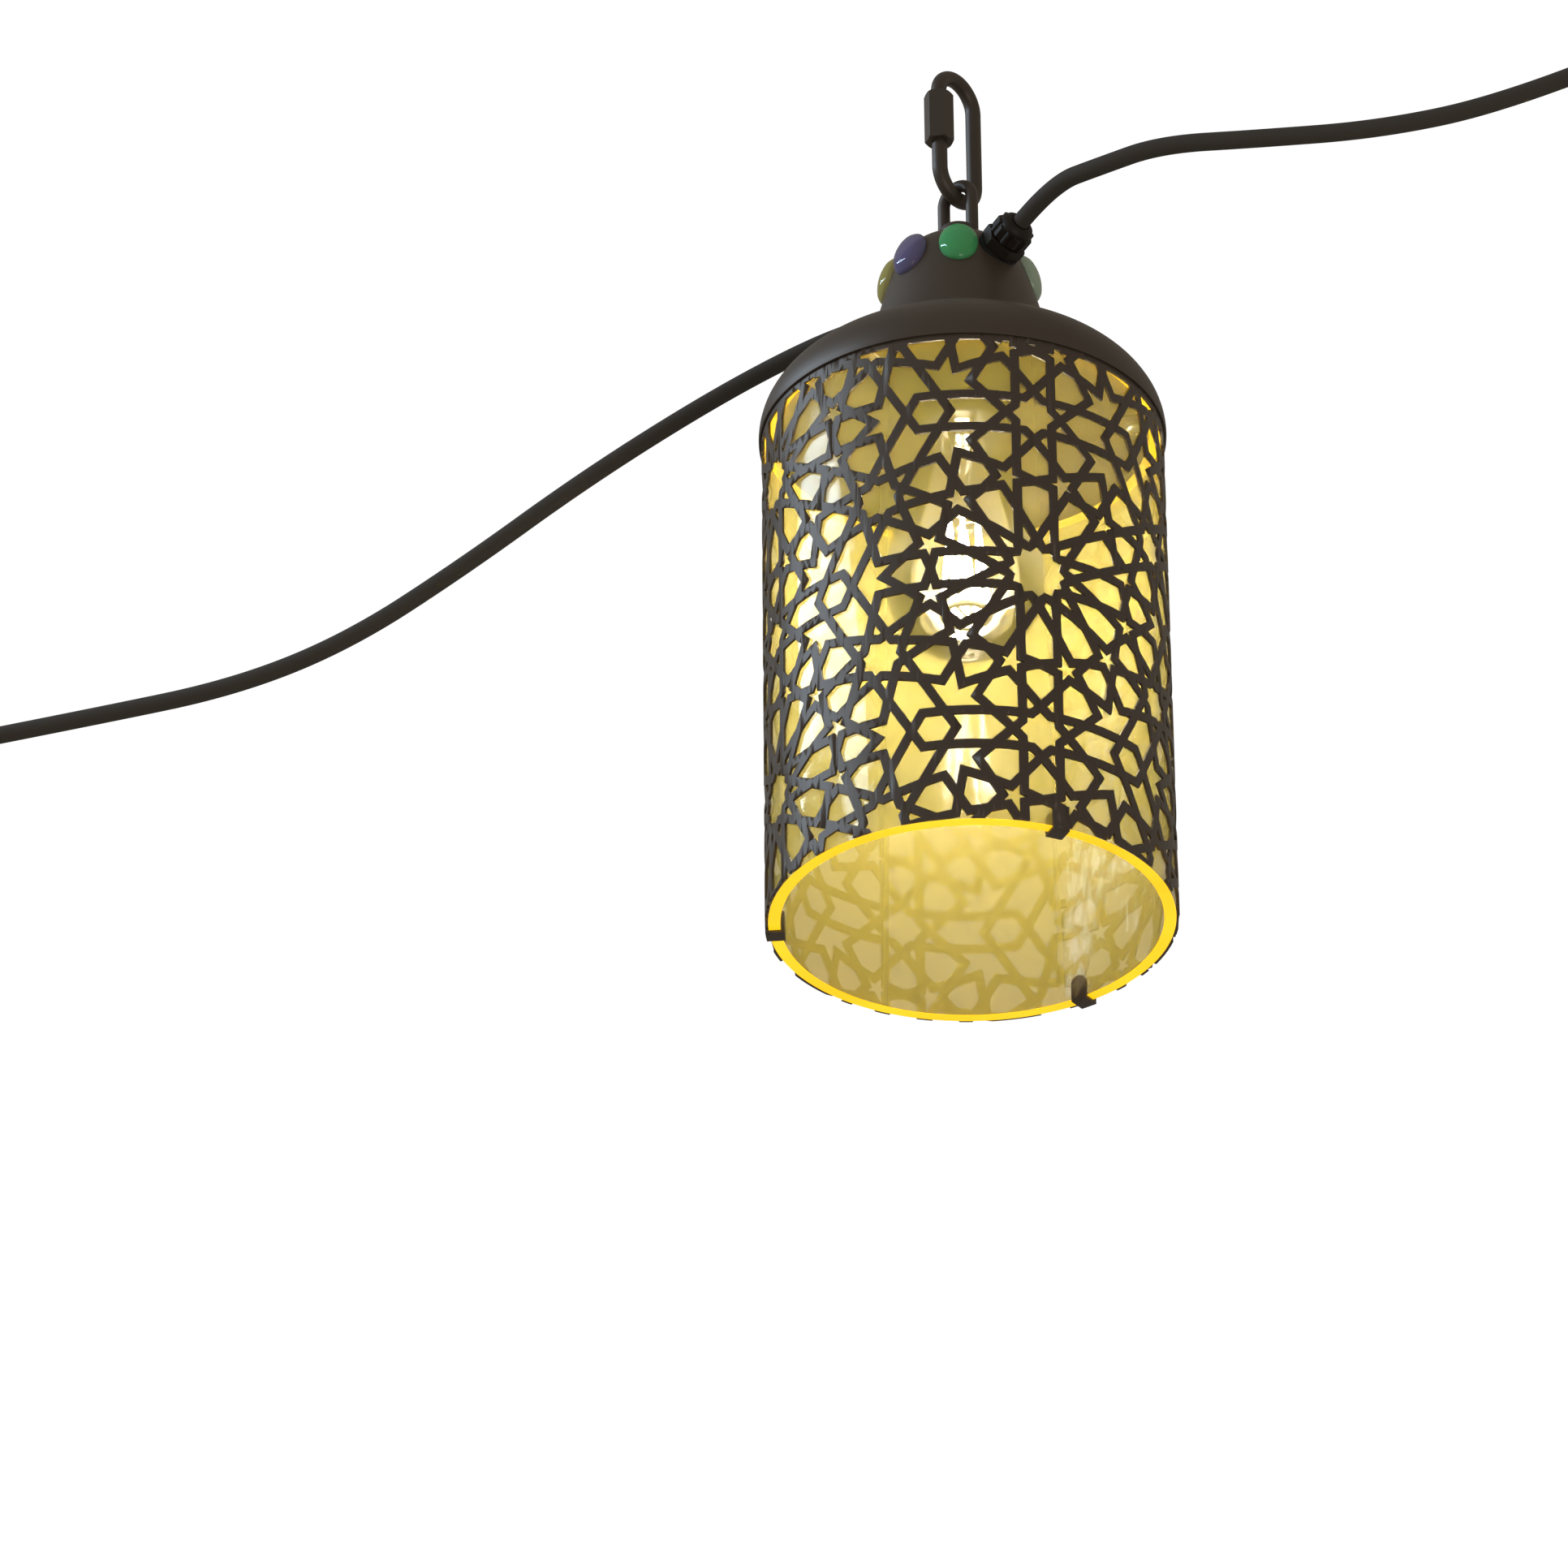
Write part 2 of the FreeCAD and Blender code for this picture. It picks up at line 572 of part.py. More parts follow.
def make_quick_link():
    """Bent wire, open on one leg, and the hexagonal nut that closes it."""
    top = LINK_TOP_ARC
    bottom = height(LINK_BOW_BOTTOM_H) + LINK_BOW_R
    r = LINK_BOW_R
    gate_top, gate_bottom = LINK_GATE
    start = V(r, 0, gate_bottom)
    edges = [Part.LineSegment(start, V(r, 0, bottom)).toShape(),
             Part.Arc(V(r, 0, bottom), V(0, 0, bottom - r), V(-r, 0, bottom)).toShape(),
             Part.LineSegment(V(-r, 0, bottom), V(-r, 0, top)).toShape(),
             Part.Arc(V(-r, 0, top), V(0, 0, top + r), V(r, 0, top)).toShape(),
             Part.LineSegment(V(r, 0, top), V(r, 0, gate_top)).toShape()]
    wire = Part.Wire(edges).makePipeShell([Part.Wire(Part.makeCircle(LINK_WIRE_R, start, UP))], True, True)
    nut = hexagon(LINK_NUT_AF, LINK_NUT_TOP - LINK_NUT_LENGTH, LINK_NUT_TOP, LINK_WIRE_R + RUNNING_GAP, 0.8)
    nut.translate(V(r, 0, 0))
    for shape in (wire, nut):
        shape.rotate(ORIGIN, UP, LINK_AZ)
    return wire, nut


def make_lampholder():
    cap = turned_rz([(r, height(z)) for r, z in (
        (NIPPLE_R + 0.05, 268.0), (11.0, 268.0), (17.0, 264.5), (19.6, 260.0), (19.6, 253.2),
        (17.9, 253.2), (17.9, 259.0), (15.5, 262.0), (10.5, 264.0), (NIPPLE_R + 0.05, 264.0))])
    body = turned_rz([(r, height(z)) for r, z in (
        (0, 258.5), (17.7, 258.5), (17.7, 253.0), (20.0, 253.0), (20.0, 226.0), (18.6, 217.5), (16.6, 214.0),
        (14.4, 214.0), (14.4, 250.0), (0, 250.0))])
    shell = ring(14.3, SHELL_R, height(219.5), height(246.0))
    contact = turned_rz([(r, height(z)) for r, z in (
        (0, 247.4), (4.0, 247.4), (5.2, 248.4), (5.2, 249.9), (0, 249.9))])
    nipple = ring(NIPPLE_R, NIPPLE_BORE_R, height(NIPPLE_BOTTOM_H), height(NIPPLE_TOP_H))
    return cap, body, shell, contact, nipple


def make_bulb():
    glass, outer, inner = shell_of(BULB_OUTLINE, BULB_GLASS)
    rib = 0.45
    pairs = [(0, height(216.4)), (BASE_R, height(216.4))]
    steps = 6
    for i in range(steps):
        z = 221.0 + 3.4 * i
        pairs += [(BASE_R, height(z)), (BASE_R - rib, height(z + 0.9)), (BASE_R - rib, height(z + 1.7)),
                  (BASE_R, height(z + 2.6))]
    pairs += [(BASE_R, height(242.0)), (9.5, height(243.6)), (0, height(243.6))]
    base = turned_rz(pairs).cut(outer)
    insulator = turned_rz([(r, height(z)) for r, z in ((0, 243.6), (9.3, 243.6), (5.6, 245.8), (0, 245.8))])
    tip = turned_rz([(r, height(z)) for r, z in ((0, 245.8), (4.6, 245.8), (4.2, 246.8), (0, 247.1))])
    stem = turned_rz([(r, height(z)) for r, z in (
        (0, 216.3), (6.0, 216.3), (4.4, 205.0), (3.0, 188.0), (2.2, 176.0), (0, 175.0))]).common(inner)
    filaments = []
    for i in range(6):
        a = 60 * i
        low = heading(a) * 9.0 + UP * height(134)
        high = heading(a + 25) * 6.0 + UP * height(172)
        direction = high - low
        filaments.append(Part.makeCylinder(0.9, direction.Length, low, direction))
    spider = [ring(9.9, 8.0, height(131.6), height(132.9)), ring(7.2, 5.0, height(173.0), height(174.2))]
    spider.append(cylinder(0.6, height(132.0), height(174.9)))
    for i in range(3):
        arm_low = Part.makeCylinder(0.5, 8.6, UP * height(132.3), heading(120 * i))
        arm_high = Part.makeCylinder(0.5, 6.0, UP * height(173.6), heading(120 * i))
        spider += [arm_low, arm_high]
    frame = spider[0].fuse(spider[1:]).removeSplitter()
    return glass, base, insulator, tip, stem, filaments, frame


def make_inner_wires():
    """Live, neutral and earth cores from each gland to the lampholder's terminals and the earth screw."""
    core_r = 0.9
    groups = {"live_wires": [], "neutral_wires": [], "earth_wires": []}
    for azimuth in GLAND_AZ.values():
        seat, out = gland_frame(azimuth)
        inner_end = seat - out * 9.2
        across = heading(azimuth + 90)
        for name, side in (("live_wires", -1), ("neutral_wires", 1)):
            start = inner_end + across * (1.9 * side)
            bend = start - out * 5.0
            foot = heading(azimuth + 24 * side) * 9.6 + UP * height(268.2)
            groups[name].append(rod_along([start, bend, foot], core_r))
        start = inner_end + UP * -2.0
        side = -1 if azimuth > 0 else 1
        points = [start, start - out * 3.5 + across * (3.0 * side) - UP * 3,
                  heading(EARTH_AZ - 38 * side) * 20.5 + UP * height(266.0),
                  heading(EARTH_AZ - 7 * side) * 24.6 + UP * height(262.6)]
        groups["earth_wires"].append(rod_along(points, core_r))
    return groups


def make_earth_screw(cavity):
    direction = heading(EARTH_AZ, WALL_TILT)
    seat = heading(EARTH_AZ) * 31.4 + UP * height(262.0)
    screw = turned_rz(((0, -5.4), (2.6, -5.2), (3.4, -4.2), (3.4, -3.0), (2.0, -3.0), (2.0, 0.6), (0, 0.6)))
    return placed(screw, seat, direction).common(cavity)


def end_frame(route):
    """End point and outward direction of a cable."""
    last = route[-1]
    return last, (last - route[-2]).normalize()


def cable_route(azimuth, exit_run, free_points):
    seat, out = gland_frame(azimuth)
    start = seat + out * GLAND_LENGTH
    return [start, start + out * exit_run] + [V(*p) for p in free_points]


def make_connector(route, male):
    """In-line connector at a cable's end: body, rear nut, contacts and, on the plug, its coupling ring."""
    point, out = end_frame(route)
    nut = turned_rz(((4.2, 2.0), (0, 2.0), (0, 0), (5.5, 0), (7.2, 2.5), (8.0, 5.0), (8.0, 13.0), (6.9, 13.0),
                     (6.9, 5.0), (4.2, 3.5)))
    grooves = []
    for i in range(12):
        a = math.radians(30 * i)
        grooves.append(Part.makeCylinder(0.8, 9.0, V(8.3 * math.cos(a), 8.3 * math.sin(a), 4.0), UP))
    nut = nut.cut(grooves)
    body = cylinder(6.7, 5.5, 13.5).fuse(cylinder(9.0, 13.4, 38.0))
    if male:
        front = ring(8.0, 6.2, 37.9, 50.0)
        body = body.fuse(front)
        coupling = ring(10.6, 8.0 + RUNNING_GAP, 38.4, 56.0)
        coupling = coupling.cut([Part.makeCylinder(0.9, 18.0, V(10.9 * math.cos(math.radians(20 * i)),
                                                               10.9 * math.sin(math.radians(20 * i)), 38.3), UP)
                                 for i in range(18)])
    else:
        body = body.fuse(cylinder(7.6, 37.9, 52.0))
        coupling = None
    contacts = []
    for i in range(3):
        a = math.radians(120 * i + 90)
        spot = V(2.9 * math.cos(a), 2.9 * math.sin(a), 0)
        if male:
            pin = Part.makeCylinder(1.0, 11.0, spot + UP * 38.0, UP)
            contacts.append(pin)
        else:
            body = body.cut(Part.makeCylinder(1.35, 15.0, spot + UP * 40.0, UP))
            socket = Part.makeCylinder(1.3, 11.0, spot + UP * 40.2, UP).cut(
                Part.makeCylinder(1.05, 12.0, spot + UP * 40.9, UP))
            contacts.append(socket)
    body = body.removeSplitter()
    pieces = {"body": placed(body, point, out), "nut": placed(nut, point, out)}
    pieces["contacts"] = [placed(c, point, out) for c in contacts]
    if coupling:
        pieces["ring"] = placed(coupling, point, out)
    return pieces


def main():
    os.makedirs("parts", exist_ok=True)
    cap, cap_body, cavity = shell_of(CAP_OUTLINE, CAP_WALL)
    export("cap", cut_cap_holes(cap))
    for name, azimuth in GEM_AZ.items():
        export(name, make_gem(azimuth, cap_body))

    gaskets = []
    for side, azimuth in GLAND_AZ.items():
        gland = make_gland(azimuth, cap_body)
        export("gland_body_" + side, gland["body"])
        export("gland_nut_" + side, gland["nut"])
        export("gland_seal_" + side, gland["seal"])
        export("gland_lock_nut_" + side, gland["lock"])
        gaskets.append(gland["gasket"])
    export("gland_gaskets", *gaskets)

    export("sleeve", make_sleeve())
    export("acrylic_tube", make_tube())
    posts, screws = make_shade_fixings(cavity)
    export("shade_posts", *posts)
    export("shade_screws", *screws)

    holder_cap, holder_body, shell, contact, nipple = make_lampholder()
    export("lampholder_cap", holder_cap)
    export("lampholder_body", holder_body)
    export("lampholder_shell", shell)
    export("lampholder_contact", contact)
    export("nipple", nipple)
    nut_top = height(297.6)
    export("nipple_lock_nut", hexagon(14.0, nut_top - 5.6, nut_top, NIPPLE_R + 0.05).common(cavity))
    washer = ring(9.8, NIPPLE_R + 0.2, height(296.0), height(300.1)).cut(cap_body)
    export("seal_washer", washer)
    export("top_loop", make_top_loop())

    wire, nut = make_quick_link()
    export("quick_link_body", wire)
    export("quick_link_nut", nut)

    glass, base, insulator, tip, stem, filaments, frame = make_bulb()
    export("bulb_globe", glass)
    export("bulb_base", base)
    export("bulb_insulator", insulator)
    export("bulb_contact", tip)
    export("bulb_stem", stem)
    export("bulb_filaments", *filaments)
    export("bulb_filament_frame", frame)

    for name, solids in make_inner_wires().items():
        export(name, *solids)
    export("earth_screw", make_earth_screw(cavity))

    right = cable_route(GLAND_AZ["right"], RIGHT_EXIT_RUN, RIGHT_ROUTE)
    left = cable_route(GLAND_AZ["left"], LEFT_EXIT_RUN, LEFT_ROUTE)
    export("cable_right", rod_along(right, CABLE_R, "cable_right"))
    export("cable_left", rod_along(left, CABLE_R, "cable_left"))
    plug = make_connector(right, True)
    export("plug_body", plug["body"])
    export("plug_rear_nut", plug["nut"])
    export("plug_pins", *plug["contacts"])
    export("plug_coupling_ring", plug["ring"])
    socket = make_connector(left, False)
    export("socket_body", socket["body"])
    export("socket_rear_nut", socket["nut"])
    export("socket_contacts", *socket["contacts"])


main()
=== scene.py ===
"""Looks of the hanging perforated-metal lantern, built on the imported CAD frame."""

import json
import logging
import math
from dataclasses import dataclass, field
from enum import Enum
from typing import Any, Iterable, Sequence

import bmesh
import bpy
from mathutils import Matrix, Vector

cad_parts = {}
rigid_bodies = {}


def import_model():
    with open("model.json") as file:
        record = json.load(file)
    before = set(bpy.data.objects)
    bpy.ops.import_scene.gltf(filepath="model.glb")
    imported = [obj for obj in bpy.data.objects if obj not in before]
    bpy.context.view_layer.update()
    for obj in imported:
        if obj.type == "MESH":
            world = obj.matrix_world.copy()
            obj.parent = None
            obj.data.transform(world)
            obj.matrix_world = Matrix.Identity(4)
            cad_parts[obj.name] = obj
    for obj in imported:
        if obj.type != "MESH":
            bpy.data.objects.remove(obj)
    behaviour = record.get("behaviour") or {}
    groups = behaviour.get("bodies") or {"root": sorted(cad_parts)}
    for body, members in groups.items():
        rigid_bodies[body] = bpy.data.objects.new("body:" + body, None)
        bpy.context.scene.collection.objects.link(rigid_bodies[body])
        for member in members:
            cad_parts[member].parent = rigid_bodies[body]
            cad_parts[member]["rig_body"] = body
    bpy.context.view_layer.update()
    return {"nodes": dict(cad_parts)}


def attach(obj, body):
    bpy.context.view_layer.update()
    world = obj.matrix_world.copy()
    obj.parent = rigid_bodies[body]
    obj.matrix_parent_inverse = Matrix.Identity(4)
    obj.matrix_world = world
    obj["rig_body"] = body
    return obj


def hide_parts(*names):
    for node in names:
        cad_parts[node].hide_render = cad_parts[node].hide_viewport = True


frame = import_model()

LOG = logging.getLogger("lantern")
Pair = tuple[float, float]
Colour = tuple[float, float, float]

MM = 0.001
HANG_H = 372.0                      # hang point above the tube's bottom edge, mm
Z_AXIS = Vector((0.0, 0.0, 1.0))
MERGE = 1e-7                        # points closer than this are one, metres
CAD_MERGE = 2e-6                    # the same for a copy of a CAD mesh


def height(above_tube_bottom: float) -> float:
    """Z in metres of a height in mm measured from the tube's bottom edge."""
    return (above_tube_bottom - HANG_H) * MM


def heading(azimuth: float, tilt: float = 0.0) -> Vector:
    """Unit vector at an azimuth, tilted upward, both in degrees."""
    a, t = math.radians(azimuth), math.radians(tilt)
    return Vector((math.cos(a) * math.cos(t), math.sin(a) * math.cos(t), math.sin(t)))


def seat_matrix(point: Vector, out: Vector) -> Matrix:
    """Matrix that stands a piece built along +Z on a point, facing out."""
    return Matrix.Translation(point) @ Z_AXIS.rotation_difference(out).to_matrix().to_4x4()


# ---------------------------------------------------------------------------
# Shader graphs
# ---------------------------------------------------------------------------

class Wire:
    """A node's output that can be used in sums as if it were a number."""

    def __init__(self, graph: "Graph", socket: bpy.types.NodeSocket) -> None:
        """Keep the graph and the socket.

        Args:
            graph: the graph that the socket belongs to.
            socket: an output socket.
        """
        self.graph = graph
        self.socket = socket

    def _sum(self, operation: str, first: Any, second: Any) -> "Wire":
        """One Math node of two values."""
        return self.graph.add("ShaderNodeMath", {"operation": operation}, {0: first, 1: second})

    def __add__(self, other: Any) -> "Wire":
        """self + other."""
        return self._sum("ADD", self, other)

    __radd__ = __add__

    def __sub__(self, other: Any) -> "Wire":
        """self - other."""
        return self._sum("SUBTRACT", self, other)

    def __rsub__(self, other: Any) -> "Wire":
        """other - self."""
        return self._sum("SUBTRACT", other, self)

    def __mul__(self, other: Any) -> "Wire":
        """self * other."""
        return self._sum("MULTIPLY", self, other)

    __rmul__ = __mul__

    def __rpow__(self, other: Any) -> "Wire":
        """other ** self."""
        return self._sum("POWER", other, self)


class Graph:
    """Builds the node tree of one material or of the surround."""

    def __init__(self, owner: bpy.types.Material | bpy.types.World) -> None:
        """Empty the owner's tree.

        Args:
            owner: the material or world that is dressed.
        """
        self.owner = owner
        self.owner.use_nodes = True
        self.tree = self.owner.node_tree
        self.tree.nodes.clear()

    def add(self, kind: str, settings: dict[str, Any] | None = None,
            inputs: dict[Any, Any] | None = None, output: Any = 0) -> Wire:
        """Add one node.

        Args:
            kind: the node's type name.
            settings: attributes set first; "stops" fills a colour ramp.
            inputs: socket name or index to a value or a Wire.
            output: name or index of the output to return.

        Returns:
            The chosen output as a Wire.
        """
        node = self.tree.nodes.new(kind)
        for key, value in (settings or {}).items():
            if key == "stops":
                self._fill_ramp(node.color_ramp, value)
            else:
                setattr(node, key, value)
        for key, value in (inputs or {}).items():
            if isinstance(value, Wire):
                self.tree.links.new(value.socket, node.inputs[key])
            else:
                node.inputs[key].default_value = value
        return Wire(self, node.outputs[output])

    @staticmethod
    def _fill_ramp(ramp: bpy.types.ColorRamp, stops: Sequence[tuple[float, Colour]]) -> None:
        """Set a colour ramp's stops.

        Args:
            ramp: the ramp.
            stops: position and colour pairs, lowest first.
        """
        while len(ramp.elements) < len(stops):
            ramp.elements.new(0.5)
        for element, (position, colour) in zip(ramp.elements, stops):
            element.position = position
            element.color = (*colour, 1.0)

    def place(self) -> Wire:
        """Object coordinates."""
        return self.add("ShaderNodeTexCoord", output="Object")

    def noise(self, scale: float, detail: float = 3.0, roughness: float = 0.55) -> Wire:
        """Noise value over Object coordinates."""
        return self.add("ShaderNodeTexNoise", {}, {"Vector": self.place(), "Scale": scale, "Detail": detail,
                                                   "Roughness": roughness})

    def ramp(self, value: Wire, *stops: tuple[float, Colour]) -> Wire:
        """Colour ramp of a value."""
        return self.add("ShaderNodeValToRGB", {"stops": stops}, {"Fac": value})

    def blend(self, factor: Any, first: Any, second: Any) -> Wire:
        """Mix two colours."""
        return self.add("ShaderNodeMix", {"data_type": "RGBA"}, {0: factor, 6: first, 7: second}, output=2)

    def spread(self, value: Wire, low: float, high: float) -> Wire:
        """Map a 0 to 1 value to a range."""
        return value * (high - low) + low

    def bump(self, value: Wire, distance: float, strength: float = 1.0) -> Wire:
        """Bump normal from a height value.

        Args:
            value: the height, 0 to 1.
            distance: its depth in metres.
            strength: the node's strength.

        Returns:
            The normal.
        """
        return self.add("ShaderNodeBump", {}, {"Strength": strength, "Distance": distance, "Height": value})

    def principled(self, **inputs: Any) -> Wire:
        """Principled surface; underscores in the names stand for spaces."""
        named = {key.replace("_", " "): value for key, value in inputs.items()}
        return self.add("ShaderNodeBsdfPrincipled", {}, named)

    def polish(self, body: Wire, index: float, normal: Wire) -> Wire:
        """Lay a mirror polish over a clear body, stronger at a glancing angle.

        Args:
            body: the surface below.
            index: the refractive index of the polished face.
            normal: the waviness that both share.

        Returns:
            The polished surface.
        """
        mirror = self.add("ShaderNodeBsdfGlossy", {}, {"Color": (1.0, 1.0, 1.0, 1.0), "Roughness": 0.03,
                                                       "Normal": normal})
        glance = self.add("ShaderNodeFresnel", {}, {"IOR": index})
        return self.add("ShaderNodeMixShader", {}, {0: glance, 1: body, 2: mirror})

    def finish(self, surface: Wire) -> bpy.types.Material | bpy.types.World:
        """Link the surface to the output.

        Args:
            surface: the finished shader.

        Returns:
            The material or world that was dressed.
        """
        ending = "World" if isinstance(self.owner, bpy.types.World) else "Material"
        node = self.tree.nodes.new("ShaderNodeOutput" + ending)
        self.tree.links.new(surface.socket, node.inputs["Surface"])
        return self.owner


# ---------------------------------------------------------------------------
# Finishes
# ---------------------------------------------------------------------------

@dataclass(frozen=True)
class PowderCoat:
    """Dark bronze powder coat with fine grain, soft wear and faint dust."""

    name: str
    deep: Colour = (0.019, 0.012, 0.007)
    light: Colour = (0.034, 0.023, 0.014)
    dust: Colour = (0.16, 0.135, 0.105)
    dust_cover: float = 0.16
    roughness: float = 0.44
    grain: float = 0.00006

    def make(self) -> bpy.types.Material:
        """Build the material.

        Returns:
            The material.
        """
        g = Graph(bpy.data.materials.new(self.name))
        cloud = g.noise(26.0, 4.0)
        fine = g.noise(1500.0, 2.0)
        tone = g.ramp(cloud, (0.3, self.deep), (0.72, self.light))
        specks = g.ramp(g.noise(90.0, 6.0, 0.7), (0.56, (0.0, 0.0, 0.0)), (0.85, (1.0, 1.0, 1.0)))
        worn = g.blend(specks * self.dust_cover, tone, (*self.dust, 1.0))
        rough = g.spread(cloud, self.roughness - 0.06, self.roughness + 0.08) + fine * 0.04
        surface = g.principled(Base_Color=worn, Roughness=rough, Metallic=0.0, IOR=1.42,
                               Normal=g.bump(fine, self.grain, 0.6))
        return g.finish(surface)


@dataclass(frozen=True)
class Plated:
    """Plated or turned metal with fine turning lines and a little tarnish."""

    name: str
    base: Colour
    dull: Colour
    roughness: float = 0.25
    line_scale: float = 900.0
    line_depth: float = 0.00002

    def make(self) -> bpy.types.Material:
        """Build the material.

        Returns:
            The material.
        """
        g = Graph(bpy.data.materials.new(self.name))
        tarnish = g.noise(60.0, 5.0)
        lines = g.add("ShaderNodeTexWave", {"wave_type": "BANDS", "bands_direction": "Z"},
                      {"Vector": g.place(), "Scale": self.line_scale, "Distortion": 0.6}, output="Fac")
        tone = g.ramp(tarnish, (0.35, self.base), (0.8, self.dull))
        rough = g.spread(tarnish, self.roughness - 0.06, self.roughness + 0.15)
        surface = g.principled(Base_Color=tone, Metallic=1.0, Roughness=rough,
                               Normal=g.bump(lines, self.line_depth, 0.5))
        return g.finish(surface)


@dataclass(frozen=True)
class Moulded:
    """Moulded plastic or rubber with a spark-eroded grain."""

    name: str
    base: Colour
    worn: Colour
    roughness: float = 0.55
    grain_scale: float = 1300.0
    grain: float = 0.00005

    def make(self) -> bpy.types.Material:
        """Build the material.

        Returns:
            The material.
        """
        g = Graph(bpy.data.materials.new(self.name))
        cloud = g.noise(45.0, 4.0)
        grain = g.noise(self.grain_scale, 2.0)
        tone = g.ramp(cloud, (0.35, self.base), (0.75, self.worn))
        surface = g.principled(Base_Color=tone, IOR=1.4,
                               Roughness=g.spread(grain, self.roughness - 0.07, self.roughness + 0.1),
                               Normal=g.bump(grain, self.grain, 0.7))
        return g.finish(surface)


@dataclass(frozen=True)
class Acrylic:
    """Fluorescent yellow acrylic wall: clear, tinted and polished, with a faint painted glow that stands in for
    the lamp light filling it.
    """

    name: str
    tint: Colour = (0.955, 0.94, 0.77)
    body: Colour = (0.36, 0.35, 0.19)
    # painted glow: a steady emission on the wall that stands in for the lamp's light on it
    painted_glow: Colour = (0.46, 0.42, 0.17)
    painted_glow_strength: float = 1.6
    haze: float = 0.03
    index: float = 1.49
    wave_depth: float = 0.0006

    def make(self) -> bpy.types.Material:
        """Build the material.

        Returns:
            The material.
        """
        g = Graph(bpy.data.materials.new(self.name))
        cloud = g.noise(16.0, 3.0)
        streak = g.noise(320.0, 3.0)
        waves = g.bump(cloud, self.wave_depth, 0.25)
        tone = g.ramp(cloud, (0.3, self.body), (0.8, tuple(min(1.0, c * 1.2) for c in self.body)))
        wall = g.principled(Base_Color=tone, Roughness=g.spread(streak, 0.015, 0.05), IOR=self.index,
                            Emission_Color=(*self.painted_glow, 1.0), Emission_Strength=self.painted_glow_strength,
                            Normal=waves)
        clear = g.add("ShaderNodeBsdfTransparent", {}, {"Color": (*self.tint, 1.0)})
        milk = g.add("ShaderNodeMixShader", {}, {0: g.spread(cloud, self.haze * 0.7, self.haze * 1.3),
                                                 1: clear, 2: wall})
        return g.finish(g.polish(milk, self.index, waves))


@dataclass(frozen=True)
class AcrylicEdge:
    """Cut end of the fluorescent acrylic, with the gathered light that comes out there painted as a bright glow.
    """

    name: str
    # painted glow of the cut end: emission colours from deep to bright, at this strength
    painted_glow: Colour = (1.0, 0.56, 0.003)
    bright: Colour = (1.0, 0.72, 0.02)
    body: Colour = (0.85, 0.55, 0.02)
    strength: float = 0.9

    def make(self) -> bpy.types.Material:
        """Build the material.

        Returns:
            The material.
        """
        g = Graph(bpy.data.materials.new(self.name))
        saw = g.noise(700.0, 2.0)
        tone = g.ramp(g.noise(30.0, 3.0), (0.3, self.painted_glow), (0.8, self.bright))
        surface = g.principled(Base_Color=(*self.body, 1.0), Roughness=g.spread(saw, 0.25, 0.45),
                               Emission_Color=tone, Emission_Strength=self.strength,
                               Normal=g.bump(saw, 0.00004, 0.5))
        return g.finish(surface)


@dataclass(frozen=True)
class ClearGlass:
    """Thin clear lamp glass, with painted glare: an emission brightest round the filaments."""

    name: str
    body: Colour = (0.9, 0.9, 0.88)
    clear: Colour = (0.98, 0.98, 0.97)
    # painted glare: the glass's emission colour away from the filaments and at their height
    painted_glare_fringe: Colour = (0.10, 0.085, 0.05)
    painted_glare_core: Colour = (1.0, 0.94, 0.78)
    glow_height: float = 150.0
    spread: float = 0.011
    painted_glow: float = 1.0
    index: float = 1.5
    edge_cover: float = 0.30
    core_cover: float = 0.16
    least_cover: float = 0.02
    wave_depth: float = 0.0004

    def make(self) -> bpy.types.Material:
        """Build the material.

        Returns:
            The material.
        """
        g = Graph(bpy.data.materials.new(self.name))
        waves = g.noise(40.0, 2.0)
        level = g.add("ShaderNodeSeparateXYZ", {}, {0: g.place()}, output="Z")
        # the painted glare is strongest at glow_height and fades over spread
        off = (level - height(self.glow_height)) * (1.0 / self.spread)
        core = math.e ** (off * off * -1.0)
        ripple = g.bump(waves, self.wave_depth, 0.3)
        tone = g.blend(core, (*self.painted_glare_fringe, 1.0), (*self.painted_glare_core, 1.0))
        shine = g.principled(Base_Color=(*self.body, 1.0), Roughness=g.spread(waves, 0.01, 0.05),
                             IOR=self.index, Emission_Color=tone, Emission_Strength=self.painted_glow, Normal=ripple)
        clear = g.add("ShaderNodeBsdfTransparent", {}, {"Color": (*self.clear, 1.0)})
        edge = g.add("ShaderNodeLayerWeight", {}, {"Blend": 0.42}, output="Facing")
        cover = edge * self.edge_cover + core * self.core_cover + self.least_cover
        glass = g.add("ShaderNodeMixShader", {}, {0: cover, 1: clear, 2: shine})
        return g.finish(g.polish(glass, self.index, ripple))


@dataclass(frozen=True)
class OpalGlass:
    """Coloured cast glass with cloudy depth and a wet polish; a painted glow stands in for light shining through
    it.
    """

    name: str
    dark: Colour
    bright: Colour
    # painted glow: emission that stands in for light passing through the glass
    painted_glow: float = 0.0
    dimple_depth: float = 0.0005

    def make(self) -> bpy.types.Material:
        """Build the material.

        Returns:
            The material.
        """
        g = Graph(bpy.data.materials.new(self.name))
        cloud = g.noise(95.0, 4.0, 0.6)
        tone = g.ramp(cloud, (0.32, self.dark), (0.7, self.bright))
        dimple = g.noise(160.0, 2.0)
        surface = g.principled(Base_Color=tone, Roughness=g.spread(cloud, 0.06, 0.16), IOR=1.52,
                               Subsurface_Weight=0.35, Subsurface_Radius=(0.002, 0.003, 0.002),
                               Subsurface_Scale=1.0, Coat_Weight=0.8, Coat_Roughness=0.03,
                               Emission_Color=tone, Emission_Strength=self.painted_glow,
                               Normal=g.bump(dimple, self.dimple_depth, 0.35))
        return g.finish(surface)


